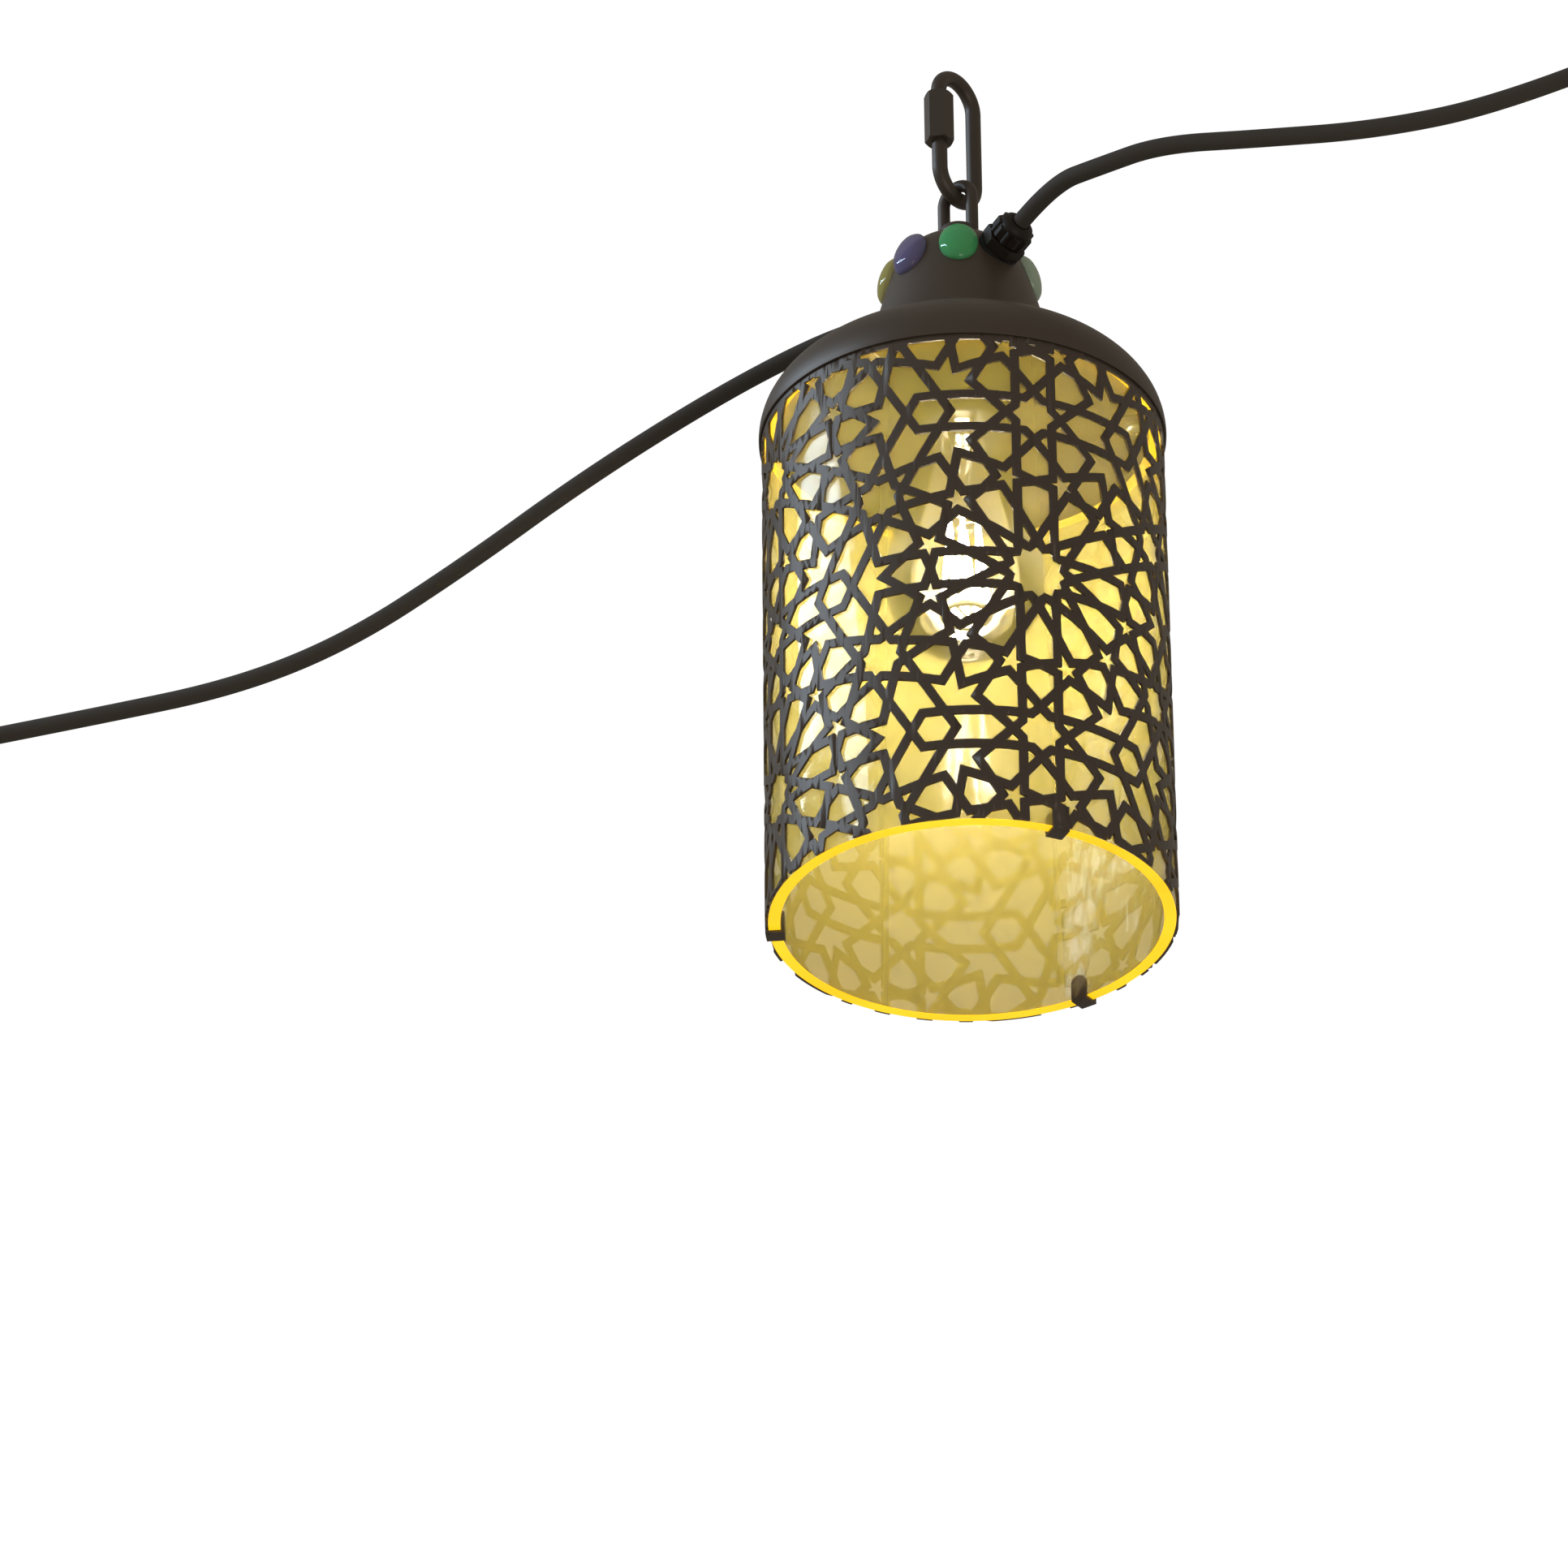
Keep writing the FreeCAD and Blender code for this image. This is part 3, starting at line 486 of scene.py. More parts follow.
@dataclass(frozen=True)
class Phosphor:
    """Glowing phosphor coat of the lamp's filaments."""

    name: str
    body: Colour = (1.0, 0.8, 0.4)
    strength: float = 160.0

    def make(self) -> bpy.types.Material:
        """Build the material.

        Returns:
            The material.
        """
        g = Graph(bpy.data.materials.new(self.name))
        tone = g.ramp(g.noise(900.0, 2.0), (0.3, (1.0, 0.86, 0.62)), (0.7, (1.0, 0.95, 0.80)))
        surface = g.principled(Base_Color=(*self.body, 1.0), Roughness=0.6, Emission_Color=tone,
                               Emission_Strength=self.strength)
        return g.finish(surface)


@dataclass(frozen=True)
class Plain:
    """Pale matt stage surface."""

    name: str
    base: Colour

    def make(self) -> bpy.types.Material:
        """Build the material.

        Returns:
            The material.
        """
        g = Graph(bpy.data.materials.new(self.name))
        tone = g.ramp(g.noise(0.8, 3.0), (0.3, self.base), (0.8, tuple(min(1.0, c * 1.03) for c in self.base)))
        return g.finish(g.principled(Base_Color=tone, Roughness=0.8))


class Finish(Enum):
    """Every finish on the object, by use."""

    BRONZE = PowderCoat("bronze")
    LINK_STEEL = PowderCoat("bronze_link", (0.013, 0.0075, 0.0045), (0.030, 0.017, 0.010),
                            roughness=0.4, grain=0.00009)
    ACRYLIC = Acrylic("yellow_acrylic")
    ACRYLIC_EDGE = AcrylicEdge("yellow_acrylic_edge")
    GLAND = Moulded("gland_nylon", (0.010, 0.0065, 0.0045), (0.018, 0.012, 0.008), 0.52)
    CABLE = Moulded("cable_rubber", (0.012, 0.0075, 0.005), (0.024, 0.015, 0.010), 0.6, 900.0, 0.00007)
    RUBBER = Moulded("seal_rubber", (0.012, 0.012, 0.012), (0.022, 0.022, 0.022), 0.7)
    CONNECTOR = Moulded("connector_nylon", (0.012, 0.012, 0.012), (0.024, 0.024, 0.023), 0.45)
    PHENOLIC = Moulded("black_phenolic", (0.014, 0.013, 0.012), (0.026, 0.024, 0.022), 0.35)
    BRASS = Plated("turned_brass", (0.72, 0.52, 0.22), (0.42, 0.27, 0.11), 0.3)
    NICKEL = Plated("nickel_plate", (0.68, 0.66, 0.61), (0.45, 0.43, 0.39), 0.24)
    ZINC = Plated("zinc_plate", (0.60, 0.60, 0.58), (0.40, 0.41, 0.40), 0.34)
    CLEAR = ClearGlass("lamp_glass")
    PHOSPHOR = Phosphor("filament_phosphor")
    # a glass's last number is its painted glow
    GREEN = OpalGlass("green_glass", (0.010, 0.30, 0.022), (0.035, 0.52, 0.06), 0.16)
    INDIGO = OpalGlass("indigo_glass", (0.008, 0.008, 0.028), (0.022, 0.020, 0.060))
    OLIVE = OpalGlass("olive_glass", (0.16, 0.13, 0.02), (0.36, 0.31, 0.06), 0.03)
    PALE_GREEN = OpalGlass("pale_green_glass", (0.16, 0.27, 0.16), (0.30, 0.43, 0.28), 0.04)
    LIVE = Moulded("live_core", (0.14, 0.05, 0.02), (0.2, 0.08, 0.03), 0.45)
    NEUTRAL = Moulded("neutral_core", (0.02, 0.08, 0.3), (0.03, 0.12, 0.38), 0.45)
    EARTH = Moulded("earth_core", (0.12, 0.34, 0.04), (0.5, 0.5, 0.04), 0.45)
    FLOOR = Plain("pale_floor", (0.82, 0.82, 0.81))

    def material(self) -> bpy.types.Material:
        """The finish's material, made once."""
        found = bpy.data.materials.get(self.value.name)
        return found or self.value.make()


PartTable = dict[str, tuple[Finish, str, float]]    # node to its finish, slot and edge softening in mm


# ---------------------------------------------------------------------------
# Mesh helpers
# ---------------------------------------------------------------------------

def to_object(bm: bmesh.types.BMesh, name: str, finish: Finish, smooth_angle: float = 35.0,
              outward: bool = True) -> bpy.types.Object:
    """Turn a bmesh into a finished piece at the origin.

    Args:
        bm: the mesh; it is freed.
        name: the piece's name.
        finish: its finish.
        smooth_angle: edges sharper than this stay sharp, degrees.
        outward: recalculate the normals first.

    Returns:
        The new object.
    """
    if outward:
        bmesh.ops.recalc_face_normals(bm, faces=bm.faces)
    mesh = bpy.data.meshes.new(name)
    bm.to_mesh(mesh)
    bm.free()
    mesh.shade_smooth()
    mesh.set_sharp_from_angle(angle=math.radians(smooth_angle))
    mesh.materials.append(finish.material())
    piece = bpy.data.objects.new(name, mesh)
    bpy.context.scene.collection.objects.link(piece)
    return piece


def soften(piece: bpy.types.Object, width: float, segments: int = 2, angle: float = 30.0) -> None:
    """Round a piece's sharp edges.

    Args:
        piece: the piece.
        width: the bevel's width, mm.
        segments: steps across the bevel.
        angle: edges sharper than this are rounded, degrees.
    """
    bevel = piece.modifiers.new("soft_edges", "BEVEL")
    bevel.width = width * MM
    bevel.segments = segments
    bevel.limit_method = "ANGLE"
    bevel.angle_limit = math.radians(angle)
    bevel.harden_normals = True


def thicken(piece: bpy.types.Object, wall: float) -> None:
    """Give a spun skin its wall, inward.

    Args:
        piece: the skin.
        wall: its thickness, mm.
    """
    solid = piece.modifiers.new("wall", "SOLIDIFY")
    solid.thickness = wall * MM
    solid.offset = -1.0
    solid.use_even_offset = True


def through(points: Sequence[Pair], steps: int = 5) -> list[Pair]:
    """Smooth outline that passes through its points.

    Args:
        points: radius and height pairs, mm.
        steps: parts that each span is divided into.

    Returns:
        The finer outline.
    """
    fine: list[Pair] = []
    for i in range(len(points) - 1):
        p0 = points[max(i - 1, 0)]
        p1, p2 = points[i], points[i + 1]
        p3 = points[min(i + 2, len(points) - 1)]
        for k in range(steps):
            t = k / steps
            fine.append(tuple(0.5 * (2 * b + (c - a) * t + (2 * a - 5 * b + 4 * c - d) * t * t
                                     + (3 * b - a - 3 * c + d) * t ** 3)
                              for a, b, c, d in zip(p0, p1, p2, p3)))
    fine.append(points[-1])
    return fine


def spun(points: Iterable[Pair], steps: int = 128, closed: bool = False) -> bmesh.types.BMesh:
    """Spin an outline of radius and z pairs, in metres, about Z.

    Args:
        points: the outline.
        steps: divisions of the full turn.
        closed: join the last point to the first.

    Returns:
        The spun mesh with its doubles merged.
    """
    bm = bmesh.new()
    verts = [bm.verts.new((r, 0.0, z)) for r, z in points]
    edges = [bm.edges.new(pair) for pair in zip(verts, verts[1:])]
    if closed:
        edges.append(bm.edges.new((verts[-1], verts[0])))
    bmesh.ops.spin(bm, geom=verts + edges, cent=(0, 0, 0), axis=(0, 0, 1), angle=2 * math.pi, steps=steps,
                   use_merge=True)
    bmesh.ops.remove_doubles(bm, verts=bm.verts, dist=MERGE)
    return bm


class Sweep:
    """Round bar built by extruding and spinning one circle of vertices."""

    def __init__(self, centre: Vector, radius: float, segments: int = 28) -> None:
        """Start with a circle facing Z.

        Args:
            centre: centre of the first circle, metres.
            radius: the bar's radius, metres.
            segments: corners of the circle.
        """
        self.bm = bmesh.new()
        made = bmesh.ops.create_circle(self.bm, segments=segments, radius=radius,
                                       matrix=Matrix.Translation(centre))
        self.loop: list[Any] = list({e for v in made["verts"] for e in v.link_edges})

    def straight(self, move: Vector, parts: int = 4) -> "Sweep":
        """Extrude the open end.

        Args:
            move: the whole move, metres.
            parts: steps that it is made in.

        Returns:
            This sweep.
        """
        for _ in range(parts):
            made = bmesh.ops.extrude_edge_only(self.bm, edges=self.loop)
            verts = [g for g in made["geom"] if isinstance(g, bmesh.types.BMVert)]
            self.loop = [g for g in made["geom"] if isinstance(g, bmesh.types.BMEdge)
                         and all(v in verts for v in g.verts)]
            bmesh.ops.translate(self.bm, vec=move / parts, verts=verts)
        return self

    def turn(self, centre: Vector, angle: float, steps: int = 26) -> "Sweep":
        """Spin the open end about the Y direction.

        Args:
            centre: a point on the axis, metres.
            angle: the turn, radians.
            steps: steps that it is made in.

        Returns:
            This sweep.
        """
        verts = list({v for e in self.loop for v in e.verts})
        made = bmesh.ops.spin(self.bm, geom=verts + self.loop, cent=centre, axis=(0, 1, 0),
                              angle=angle, steps=steps, use_duplicate=False)
        self.loop = [g for g in made["geom_last"] if isinstance(g, bmesh.types.BMEdge)]
        return self

    def close(self) -> bmesh.types.BMesh:
        """Fill both ends.

        Returns:
            The closed mesh.
        """
        bmesh.ops.holes_fill(self.bm, edges=self.bm.edges, sides=0)
        bmesh.ops.remove_doubles(self.bm, verts=self.bm.verts, dist=MERGE)
        return self.bm


def turned_about_z(bm: bmesh.types.BMesh, azimuth: float) -> bmesh.types.BMesh:
    """Turn a whole mesh about Z by an azimuth in degrees."""
    bmesh.ops.rotate(bm, cent=(0, 0, 0), matrix=Matrix.Rotation(math.radians(azimuth), 3, "Z"), verts=bm.verts)
    return bm


def stand_for(piece: bpy.types.Object, node: str) -> bpy.types.Object:
    """Let a piece ride with and replace one CAD node.

    Args:
        piece: the piece.
        node: the node that it replaces.

    Returns:
        The same piece.
    """
    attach(piece, frame["nodes"][node]["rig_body"])
    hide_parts(node)
    return piece


def cad_bmesh(node: str) -> bmesh.types.BMesh:
    """Copy a CAD node's mesh and merge its doubles.

    Args:
        node: the node.

    Returns:
        The merged copy.
    """
    bm = bmesh.new()
    bm.from_mesh(frame["nodes"][node].data)
    bmesh.ops.remove_doubles(bm, verts=bm.verts, dist=CAD_MERGE)
    return bm


@dataclass
class MachinedPieces:
    """Small parts kept to their CAD shape, with their edges softened."""

    nodes: PartTable

    def build(self) -> list[bpy.types.Object]:
        """Build every piece.

        Returns:
            The new objects, in the order of the nodes.
        """
        made = []
        for node, (finish, slot, edge) in self.nodes.items():
            bm = cad_bmesh(node)
            bmesh.ops.dissolve_limit(bm, angle_limit=math.radians(0.5), verts=bm.verts, edges=bm.edges)
            piece = to_object(bm, node + "_finished", finish, 32.0, outward=False)
            if edge:
                soften(piece, edge)
            stand_for(piece, node)
            made.append(piece)
        LOG.info("machined pieces: %d", len(made))
        return made


# ---------------------------------------------------------------------------
# Sub-assemblies
# ---------------------------------------------------------------------------

@dataclass
class Cable:
    """A rubber cable from its gland to its connector."""

    name: str
    node: str
    gland_azimuth: float
    exit_run: float
    route: tuple[tuple[float, float, float], ...]
    length: float
    diameter: float = 7.0
    gland_length: float = 14.5
    wall_radius: float = 25.5
    wall_height: float = 283.5
    wall_tilt: float = 17.0

    def build(self, fittings: Sequence[bpy.types.Object]) -> bpy.types.Object:
        """Lay the cable as a smooth spline on its route.

        Args:
            fittings: the pieces at its far end; not used.

        Returns:
            The cable.
        """
        seat = heading(self.gland_azimuth) * self.wall_radius * MM
        seat.z = height(self.wall_height)
        out = heading(self.gland_azimuth, self.wall_tilt)
        start = seat + out * self.gland_length * MM
        points = [start, start + out * self.exit_run * MM] + [Vector(p) * MM for p in self.route]
        curve = bpy.data.curves.new(self.name, "CURVE")
        curve.dimensions = "3D"
        spline = curve.splines.new("NURBS")
        spline.points.add(len(points) - 1)
        for knot, point in zip(spline.points, points):
            knot.co = (*point, 1.0)
        spline.order_u = 3
        spline.use_endpoint_u = True
        spline.resolution_u = 16
        curve.bevel_depth = self.diameter / 2 * MM
        curve.bevel_resolution = 6
        curve.use_fill_caps = True
        curve.materials.append(Finish.CABLE.material())
        piece = bpy.data.objects.new(self.name, curve)
        bpy.context.scene.collection.objects.link(piece)
        stand_for(piece, self.node)
        LOG.info("%s: %d points", self.name, len(points))
        return piece


@dataclass
class Cap:
    """Spun metal cap: lip, shoulder, neck and crown in one skin."""

    outline: tuple[Pair, ...] = (
        (77.1, 208.3), (77.2, 211.2), (76.6, 215.4), (75.0, 220.0), (71.6, 225.4), (66.2, 230.6),
        (59.0, 235.1), (51.0, 238.8), (43.8, 242.5), (38.4, 246.6), (35.1, 251.4), (33.3, 257.0),
        (31.6, 263.5), (29.6, 271.0), (27.2, 279.0), (24.7, 286.3), (22.2, 290.9), (18.5, 294.4),
        (13.0, 297.1), (7.0, 298.5), (5.1, 298.8))
    wall: float = 0.8

    def build(self) -> bpy.types.Object:
        """Build the cap.

        Returns:
            The new piece.
        """
        bm = spun([(r * MM, height(z)) for r, z in through(self.outline)], 160)
        piece = to_object(bm, "cap_spun", Finish.BRONZE, 60.0)
        thicken(piece, self.wall)
        soften(piece, 0.3, 3, 50.0)
        stand_for(piece, "cap")
        LOG.info("cap")
        return piece


@dataclass
class Gems:
    """Oval glass cabochons glued round the neck."""

    radius: float = 7.5
    half_height: float = 10.0
    rise: float = 4.9
    seat_radius: float = 25.9
    seat_height: float = 282.5
    tilt: float = 17.0
    places: dict[str, tuple[float, Finish, str]] = field(default_factory=lambda: {
        "gem_front_green": (-91.3, Finish.GREEN, "green_glass"),
        "gem_front_left_indigo": (-136.3, Finish.INDIGO, "indigo_glass"),
        "gem_left_olive": (178.7, Finish.OLIVE, "olive_glass"),
        "gem_right_pale_green": (-1.3, Finish.PALE_GREEN, "pale_green_glass"),
        "gem_rear_right_indigo": (43.7, Finish.INDIGO, "indigo_glass"),
        "gem_rear_green": (88.7, Finish.GREEN, "green_glass")})

    def dome(self) -> bmesh.types.BMesh:
        """Spin one round cabochon, standing along +Z.

        Returns:
            Its mesh.
        """
        r, h = self.radius, self.rise
        outline = [(0.0, -1.15), (r - 0.5, -1.15), (r - 0.05, -0.6), (r, 0.4), (r - 0.15, 1.3), (r - 0.75, 2.25),
                   (r * 0.74, 3.45), (r * 0.5, 4.3), (r * 0.25, h - 0.1), (0.0, h)]
        smooth = outline[:2] + through(outline[2:], 4)
        return spun([(a * MM, b * MM) for a, b in smooth], 56)

    def build(self) -> list[bpy.types.Object]:
        """Build the gems.

        Returns:
            The new pieces.
        """
        made = []
        for node, (azimuth, finish, slot) in self.places.items():
            seat = heading(azimuth) * self.seat_radius * MM
            seat.z = height(self.seat_height)
            bm = turned_about_z(self.dome(), -azimuth)
            bmesh.ops.scale(bm, vec=(self.half_height / self.radius, 1.0, 1.0), verts=bm.verts)
            turned_about_z(bm, azimuth)
            bmesh.ops.transform(bm, matrix=seat_matrix(seat, heading(azimuth, self.tilt)), verts=bm.verts)
            piece = to_object(bm, node + "_cast", finish, 70.0)
            stand_for(piece, node)
            made.append(piece)
        LOG.info("gems: %d", len(made))
        return made


@dataclass
class Shade:
    """Laser-cut sleeve round the acrylic tube."""

    sleeve_radius: float = 76.2
    sleeve_wall: float = 1.0
    tube_radius: float = 75.0
    tube_wall: float = 4.5
    tube_top: float = 211.1
    slices: int = 72
    slack: float = 0.02                 # how far inside the wall a slice's point can lie, mm

    def sleeve(self) -> bpy.types.Object:
        """Round the sleeve's facets: slice it along its axis and push each new point out to its radius.

        Returns:
            The sleeve.
        """
        bm = cad_bmesh("sleeve")
        layer = bm.verts.layers.float.new("radius")
        for vert in bm.verts:
            vert[layer] = vert.co.xy.length
        for i in range(self.slices):
            a = math.pi * i / self.slices
            geometry = list(bm.verts) + list(bm.edges) + list(bm.faces)
            bmesh.ops.bisect_plane(bm, geom=geometry, dist=MERGE, plane_co=(0, 0, 0),
                                   plane_no=(-math.sin(a), math.cos(a), 0.0))
        inner = (self.sleeve_radius - self.sleeve_wall - self.slack) * MM
        for vert in bm.verts:
            radius = vert[layer]
            if radius > inner:
                vert.co.xy = vert.co.xy.normalized() * radius
        piece = to_object(bm, "sleeve_cut", Finish.BRONZE, 40.0, outward=False)
        stand_for(piece, "sleeve")
        return piece

    def tube(self) -> bpy.types.Object:
        """Spin the tube, with slightly broken edges.

        Returns:
            The tube.
        """
        outer, inner, edge = self.tube_radius, self.tube_radius - self.tube_wall, 0.35
        low, high = 0.0, self.tube_top
        outline = [(inner, high - edge), (inner + edge, high), (outer - edge, high), (outer, high - edge)]
        rows = 8
        outline += [(outer, high - (high - low) * k / rows) for k in range(1, rows)]
        outline += [(outer, low + edge), (outer - edge, low), (inner + edge, low), (inner, low + edge)]
        outline += [(inner, low + (high - low) * k / rows) for k in range(1, rows)]
        bm = spun([(r * MM, height(z)) for r, z in outline], 192, closed=True)
        piece = to_object(bm, "acrylic_tube_polished", Finish.ACRYLIC, 30.0)
        piece.data.materials.append(Finish.ACRYLIC_EDGE.material())
        # the end faces take the painted edge glow
        bottom, top = height(low + edge) + 1e-6, height(high - edge) - 1e-6
        for face in piece.data.polygons:
            if face.center.z < bottom or face.center.z > top:
                face.material_index = 1
        stand_for(piece, "acrylic_tube")
        return piece

    def build(self) -> list[bpy.types.Object]:
        """Build the sleeve and the tube.

        Returns:
            The new pieces.
        """
        made = [self.sleeve(), self.tube()]
        LOG.info("shade: sleeve of %d faces", len(made[0].data.polygons))
        return made


@dataclass
class Hanger:
    """Quick link and the loop on the crown; the link's nut is built with the small parts."""

    wire: float = 3.0
    bow: float = 10.5
    nut_azimuth: float = 230.0
    low_bow_height: float = 319.8
    gate_top: float = -12.0
    gate_bottom: float = -24.0
    loop_wire: float = 2.4
    loop_half: float = 6.9
    loop_arc_height: float = 318.6
    loop_base_height: float = 300.2
    loop_azimuth: float = -40.0
    collar_radius: float = 7.6
    collar_top: float = 305.6

    def link(self) -> bpy.types.Object:
        """Bend the link's wire, open under its nut.

        Returns:
            The link.
        """
        r = self.bow * MM
        top = -(self.bow - self.wire) * MM
        bottom = height(self.low_bow_height) + r
        start = self.gate_bottom * MM
        bar = Sweep(Vector((r, 0, start)), self.wire * MM)
        bar.straight(Vector((0, 0, bottom - start))).turn(Vector((0, 0, bottom)), math.pi)
        bar.straight(Vector((0, 0, top - bottom)), 8).turn(Vector((0, 0, top)), math.pi)
        bar.straight(Vector((0, 0, self.gate_top * MM - top)), 2)
        bm = turned_about_z(bar.close(), self.nut_azimuth)
        piece = to_object(bm, "quick_link_wire", Finish.LINK_STEEL, 50.0)
        soften(piece, 0.4, 2, 60.0)
        return stand_for(piece, "quick_link_body")

    def loop(self) -> bpy.types.Object:
        """Bend the loop and set it on its screwed collar.

        Returns:
            The loop.
        """
        r = self.loop_half * MM
        base, arc = height(self.loop_base_height), height(self.loop_arc_height)
        bar = Sweep(Vector((-r, 0, base)), self.loop_wire * MM)
        bar.straight(Vector((0, 0, arc - base))).turn(Vector((0, 0, arc)), math.pi)
        bar.straight(Vector((0, 0, base - arc)))
        bm = bar.close()
        c, z0, z1 = self.collar_radius, self.loop_base_height, self.collar_top
        ring = [(5.05, z0), (c - 0.3, z0), (c, z0 + 0.3), (c, z1 - 1.0), (c - 0.5, z1 - 0.3), (c - 1.1, z1),
                (5.6, z1), (5.05, z1 - 0.5)]
        collar = spun([(a * MM, height(b)) for a, b in ring], 64, closed=True)
        mesh = bpy.data.meshes.new("collar")
        collar.to_mesh(mesh)
        collar.free()
        bm.from_mesh(mesh)
        bpy.data.meshes.remove(mesh)
        piece = to_object(turned_about_z(bm, self.loop_azimuth), "top_loop_bar", Finish.LINK_STEEL, 50.0)
        return stand_for(piece, "top_loop")

    def build(self) -> list[bpy.types.Object]:
        """Build the link and the loop.

        Returns:
            The new pieces.
        """
        made = [self.link(), self.loop()]
        LOG.info("hanger: %d pieces", len(made))
        return made


@dataclass
class Lamp:
    """Clear filament lamp and the light that it gives."""

    outline: tuple[Pair, ...] = (
        (13.3, 219.0), (14.6, 208.0), (19.0, 192.0), (25.6, 172.0), (29.4, 157.0), (30.0, 146.0),
        (28.2, 135.7), (21.2, 124.8), (11.0, 118.2), (0.0, 116.0))
    wall: float = 0.8
    glow_height: float = 152.0
    power: float = 0.12
    light_colour: Colour = (1.0, 0.90, 0.70)
    light_radius: float = 18.0

    def build(self) -> bpy.types.Object:
        """Build the globe and its light.

        Returns:
            The new piece.
        """
        bm = spun([(r * MM, height(z)) for r, z in through(self.outline, 6)], 96)
        piece = to_object(bm, "bulb_globe_blown", Finish.CLEAR, 70.0)
        stand_for(piece, "bulb_globe")
        light = bpy.data.lights.new("lamp_light", "POINT")
        light.energy = self.power
        light.color = self.light_colour
        light.shadow_soft_size = self.light_radius * MM
        lamp = bpy.data.objects.new("lamp_light", light)
        lamp.location = (0.0, 0.0, height(self.glow_height))
        bpy.context.scene.collection.objects.link(lamp)
        LOG.info("lamp")
        return piece


@dataclass
class LongLens:
    """Long-lens camera below the lantern, looking up at it."""

    place: tuple[float, float, float] = (-0.0659, -2.9737, -2.0645)
    pitch: float = 30.508
    roll: float = -0.486
    yaw: float = 0.054
    lens: float = 213.9
    sensor: float = 36.0
    reach: float = 100.0

    def build(self) -> bpy.types.Object:
        """Build the camera.

        Returns:
            The camera, set as the scene's camera.
        """
        data = bpy.data.cameras.new("camera")
        data.lens = self.lens
        data.sensor_width = self.sensor
        data.clip_end = self.reach
        camera = bpy.data.objects.new("camera", data)
        turn = (Matrix.Rotation(math.radians(self.yaw), 4, "Z")
                @ Matrix.Rotation(math.radians(90.0 + self.pitch), 4, "X")
                @ Matrix.Rotation(math.radians(self.roll), 4, "Z"))
        camera.matrix_world = Matrix.Translation(self.place) @ turn
        bpy.context.scene.collection.objects.link(camera)
        bpy.context.scene.camera = camera
        return camera


@dataclass(frozen=True)
class SoftLight:
    """Rectangular light aimed at the lantern; angles in degrees, the rest in metres and watts."""

    name: str
    azimuth: float
    elevation: float
    distance: float
    size: Pair
    power: float
    colour: Colour
    aim: float = -0.2

    def build(self) -> None:
        """Add the light, unseen by the camera."""
        data = bpy.data.lights.new(self.name, "AREA")
        data.shape = "RECTANGLE"
        data.size, data.size_y = self.size
        data.energy = self.power
        data.color = self.colour
        lamp = bpy.data.objects.new(self.name, data)
        direction = heading(self.azimuth, self.elevation)
        lamp.matrix_world = seat_matrix(Vector((0, 0, self.aim)) + direction * self.distance, direction)
        lamp.visible_camera = False
        bpy.context.scene.collection.objects.link(lamp)


@dataclass
class Studio:
    """White surround, pale floor and soft lights."""

    backdrop: float = 1.02
    fill: float = 0.30
    backdrop_colour: Colour = (1.0, 1.0, 1.0)
    fill_colour: Colour = (1.0, 0.90, 0.76)
    floor_z: float = -4.6
    floor_half: float = 14.0
    lights: tuple[SoftLight, ...] = (
        SoftLight("window_left", azimuth=-176.0, elevation=30.0, distance=2.6, size=(0.20, 2.2),
                  power=32.0, colour=(0.62, 0.80, 1.0)),
        SoftLight("soft_front", azimuth=-75.0, elevation=-30.0, distance=3.0, size=(1.6, 1.2),
                  power=12.0, colour=(1.0, 0.93, 0.84)))

    def world(self) -> bpy.types.World:
        """White backdrop that lights the lantern only softly.

        Returns:
            The world.
        """
        g = Graph(bpy.data.worlds.new("surround"))
        seen = g.add("ShaderNodeLightPath", output="Is Camera Ray")
        through_wall = g.add("ShaderNodeLightPath", output="Transparent Depth")
        behind = g.add("ShaderNodeMath", {"operation": "LESS_THAN"}, {0: through_wall, 1: 0.5})
        backdrop = seen * behind
        tone = g.blend(backdrop, (*self.fill_colour, 1.0), (*self.backdrop_colour, 1.0))
        level = g.spread(backdrop, self.fill, self.backdrop)
        return g.finish(g.add("ShaderNodeBackground", {}, {"Color": tone, "Strength": level}))

    def build(self) -> None:
        """Build the surround, the floor and the lights."""
        bpy.context.scene.world = self.world()
        bm = bmesh.new()
        bmesh.ops.create_grid(bm, x_segments=8, y_segments=8, size=self.floor_half,
                              matrix=Matrix.Translation((0, 0, self.floor_z)))
        floor = to_object(bm, "floor", Finish.FLOOR, outward=False)
        for light in self.lights:
            light.build()
        LOG.info("studio")


class Side(Enum):
    """The two glands and what hangs from them."""

    RIGHT = "right"
    LEFT = "left"


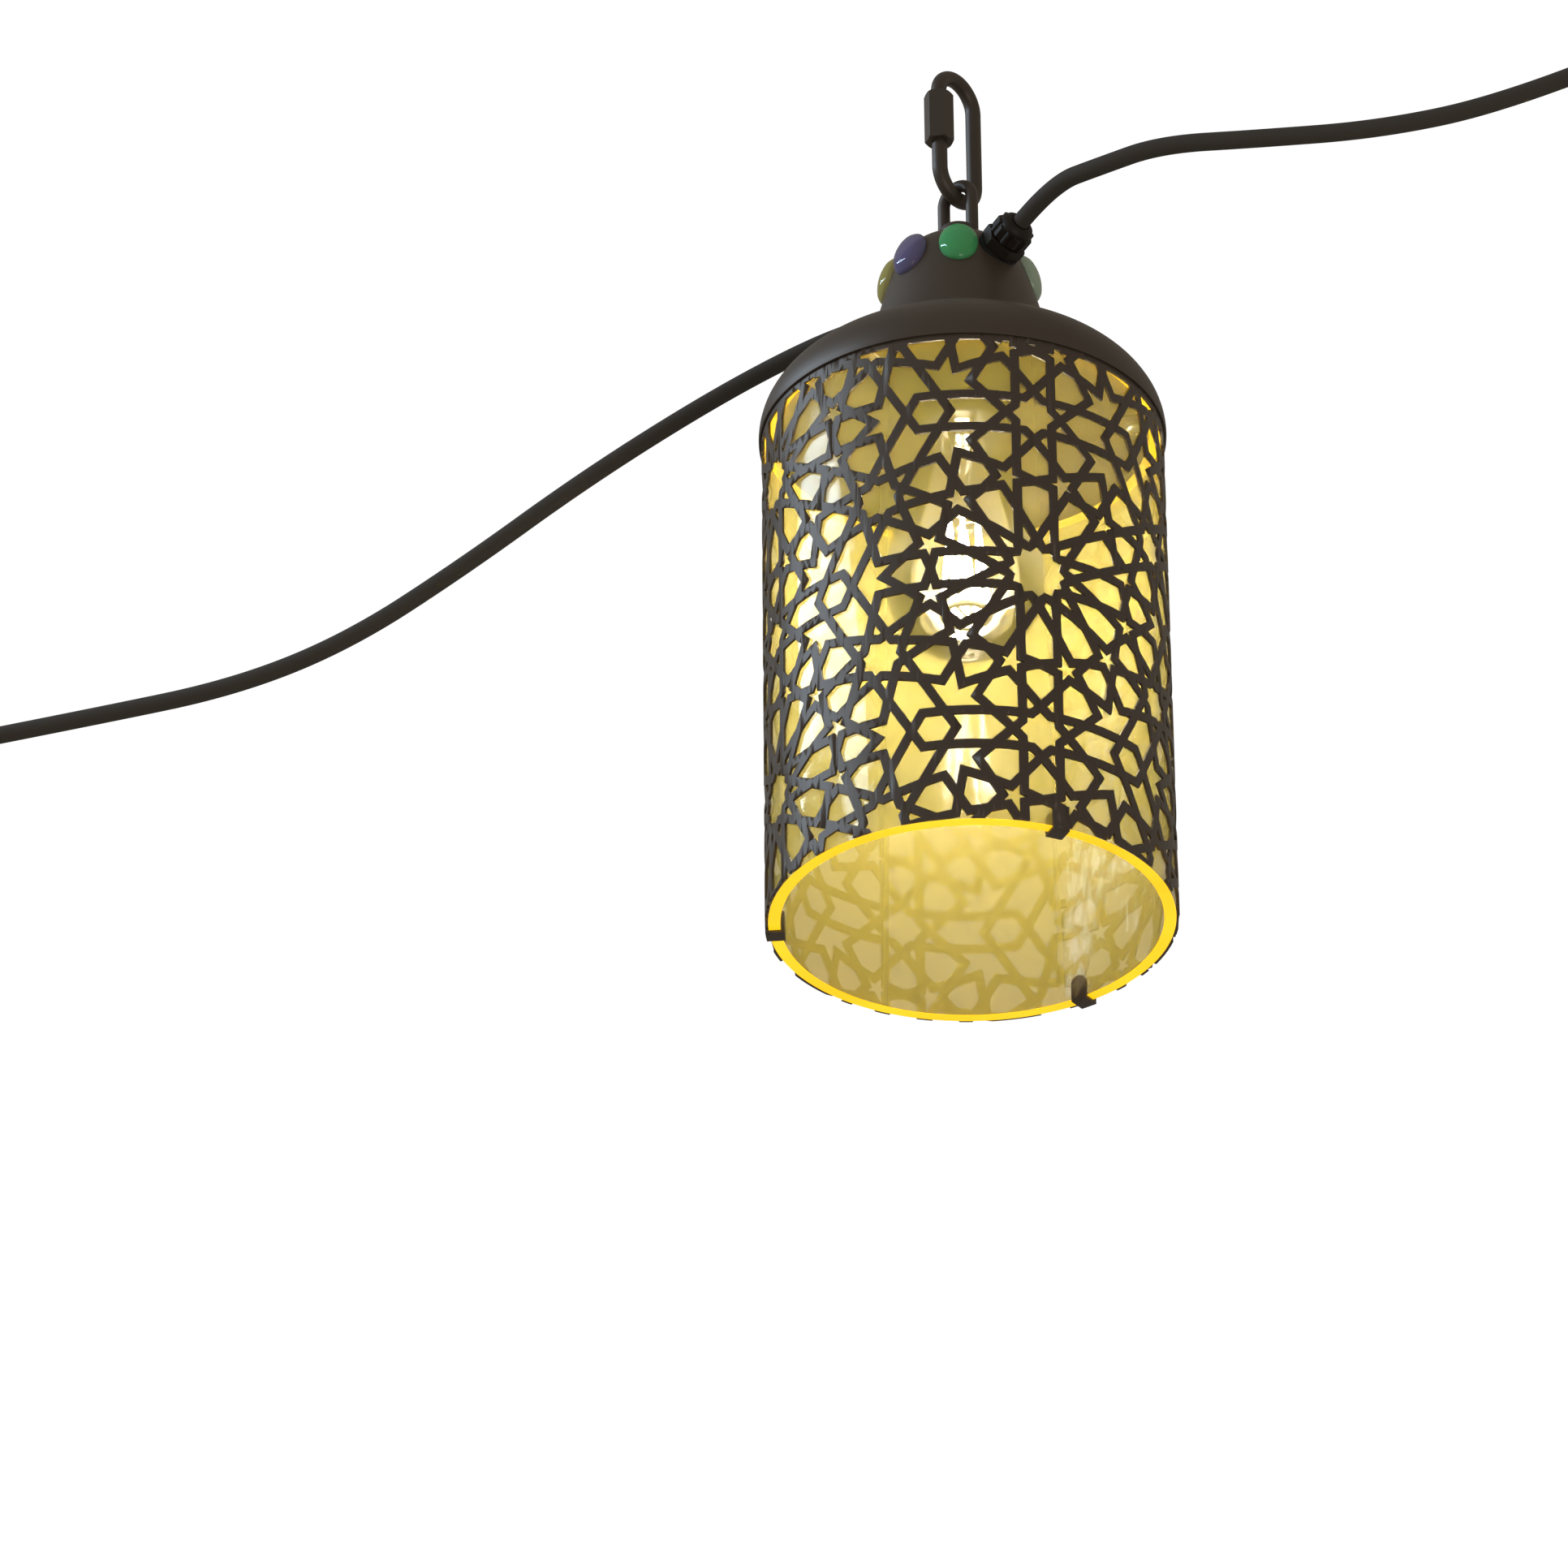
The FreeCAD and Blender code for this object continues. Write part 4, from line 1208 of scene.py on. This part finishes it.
def small_parts() -> PartTable:
    """List the nodes that keep their CAD shape.

    Returns:
        Their finishes, slots and edge softening.
    """
    table: PartTable = {
        "quick_link_nut": (Finish.LINK_STEEL, "bronze_link", 0.25),
        "nipple": (Finish.BRASS, "brass", 0.15),
        "nipple_lock_nut": (Finish.ZINC, "zinc_steel", 0.15),
        "seal_washer": (Finish.RUBBER, "rubber", 0.0),
        "gland_gaskets": (Finish.RUBBER, "rubber", 0.0),
        "shade_posts": (Finish.ZINC, "zinc_steel", 0.15),
        "shade_screws": (Finish.ZINC, "zinc_steel", 0.1),
        "lampholder_cap": (Finish.PHENOLIC, "black_phenolic", 0.3),
        "lampholder_body": (Finish.PHENOLIC, "black_phenolic", 0.3),
        "lampholder_shell": (Finish.BRASS, "brass", 0.1),
        "lampholder_contact": (Finish.BRASS, "brass", 0.1),
        "bulb_base": (Finish.NICKEL, "nickel", 0.12),
        "bulb_insulator": (Finish.PHENOLIC, "black_phenolic", 0.1),
        "bulb_contact": (Finish.NICKEL, "nickel", 0.1),
        "bulb_stem": (Finish.CLEAR, "clear_glass", 0.0),
        "bulb_filaments": (Finish.PHOSPHOR, "filament", 0.0),
        "bulb_filament_frame": (Finish.NICKEL, "nickel", 0.0),
        "live_wires": (Finish.LIVE, "live_sleeve", 0.0),
        "neutral_wires": (Finish.NEUTRAL, "neutral_sleeve", 0.0),
        "earth_wires": (Finish.EARTH, "earth_sleeve", 0.0),
        "earth_screw": (Finish.BRASS, "brass", 0.0),
    }
    for side in Side:
        table["gland_body_" + side.value] = (Finish.GLAND, "gland_plastic", 0.25)
        table["gland_nut_" + side.value] = (Finish.GLAND, "gland_plastic", 0.2)
        table["gland_lock_nut_" + side.value] = (Finish.GLAND, "gland_plastic", 0.2)
        table["gland_seal_" + side.value] = (Finish.RUBBER, "rubber", 0.0)
    return table


def connector_parts() -> dict[Side, PartTable]:
    """List the nodes of the plug on the right cable and of the socket on the left one.

    Returns:
        A table of nodes for each side.
    """
    black = (Finish.CONNECTOR, "connector_plastic", 0.3)
    metal = (Finish.NICKEL, "nickel", 0.1)
    return {
        Side.RIGHT: {"plug_body": black, "plug_rear_nut": black, "plug_pins": metal,
                     "plug_coupling_ring": black},
        Side.LEFT: {"socket_body": black, "socket_rear_nut": black, "socket_contacts": metal},
    }


def main() -> None:
    """Build the camera, the cables and every piece, then note the sizes."""
    logging.basicConfig(level=logging.INFO, format="%(name)s: %(message)s")
    bpy.context.scene.view_settings.view_transform = "Standard"
    LongLens().build()
    fittings = {side: MachinedPieces(nodes).build() for side, nodes in connector_parts().items()}
    Cable("cable_right_rubber", "cable_right", -54.0, 21.5,
          ((52, -61, -79), (75, -71, -76), (110, -80, -80), (157, -90, -83), (202, -99, -78), (237, -105, -66)),
          length=235.0).build(fittings[Side.RIGHT])
    Cable("cable_left_rubber", "cable_left", 126.0, 22.5,
          ((-60, 64, -79), (-98, 79, -93), (-146, 95, -118), (-193, 110, -148), (-238, 124, -173),
           (-283, 138, -185), (-338, 154, -188), (-391, 168, -191)),
          length=421.3).build(fittings[Side.LEFT])
    Studio().build()
    Cap().build()
    Gems().build()
    Shade().build()
    Hanger().build()
    Lamp().build()
    MachinedPieces(small_parts()).build()


if __name__ == "__main__":
    main()
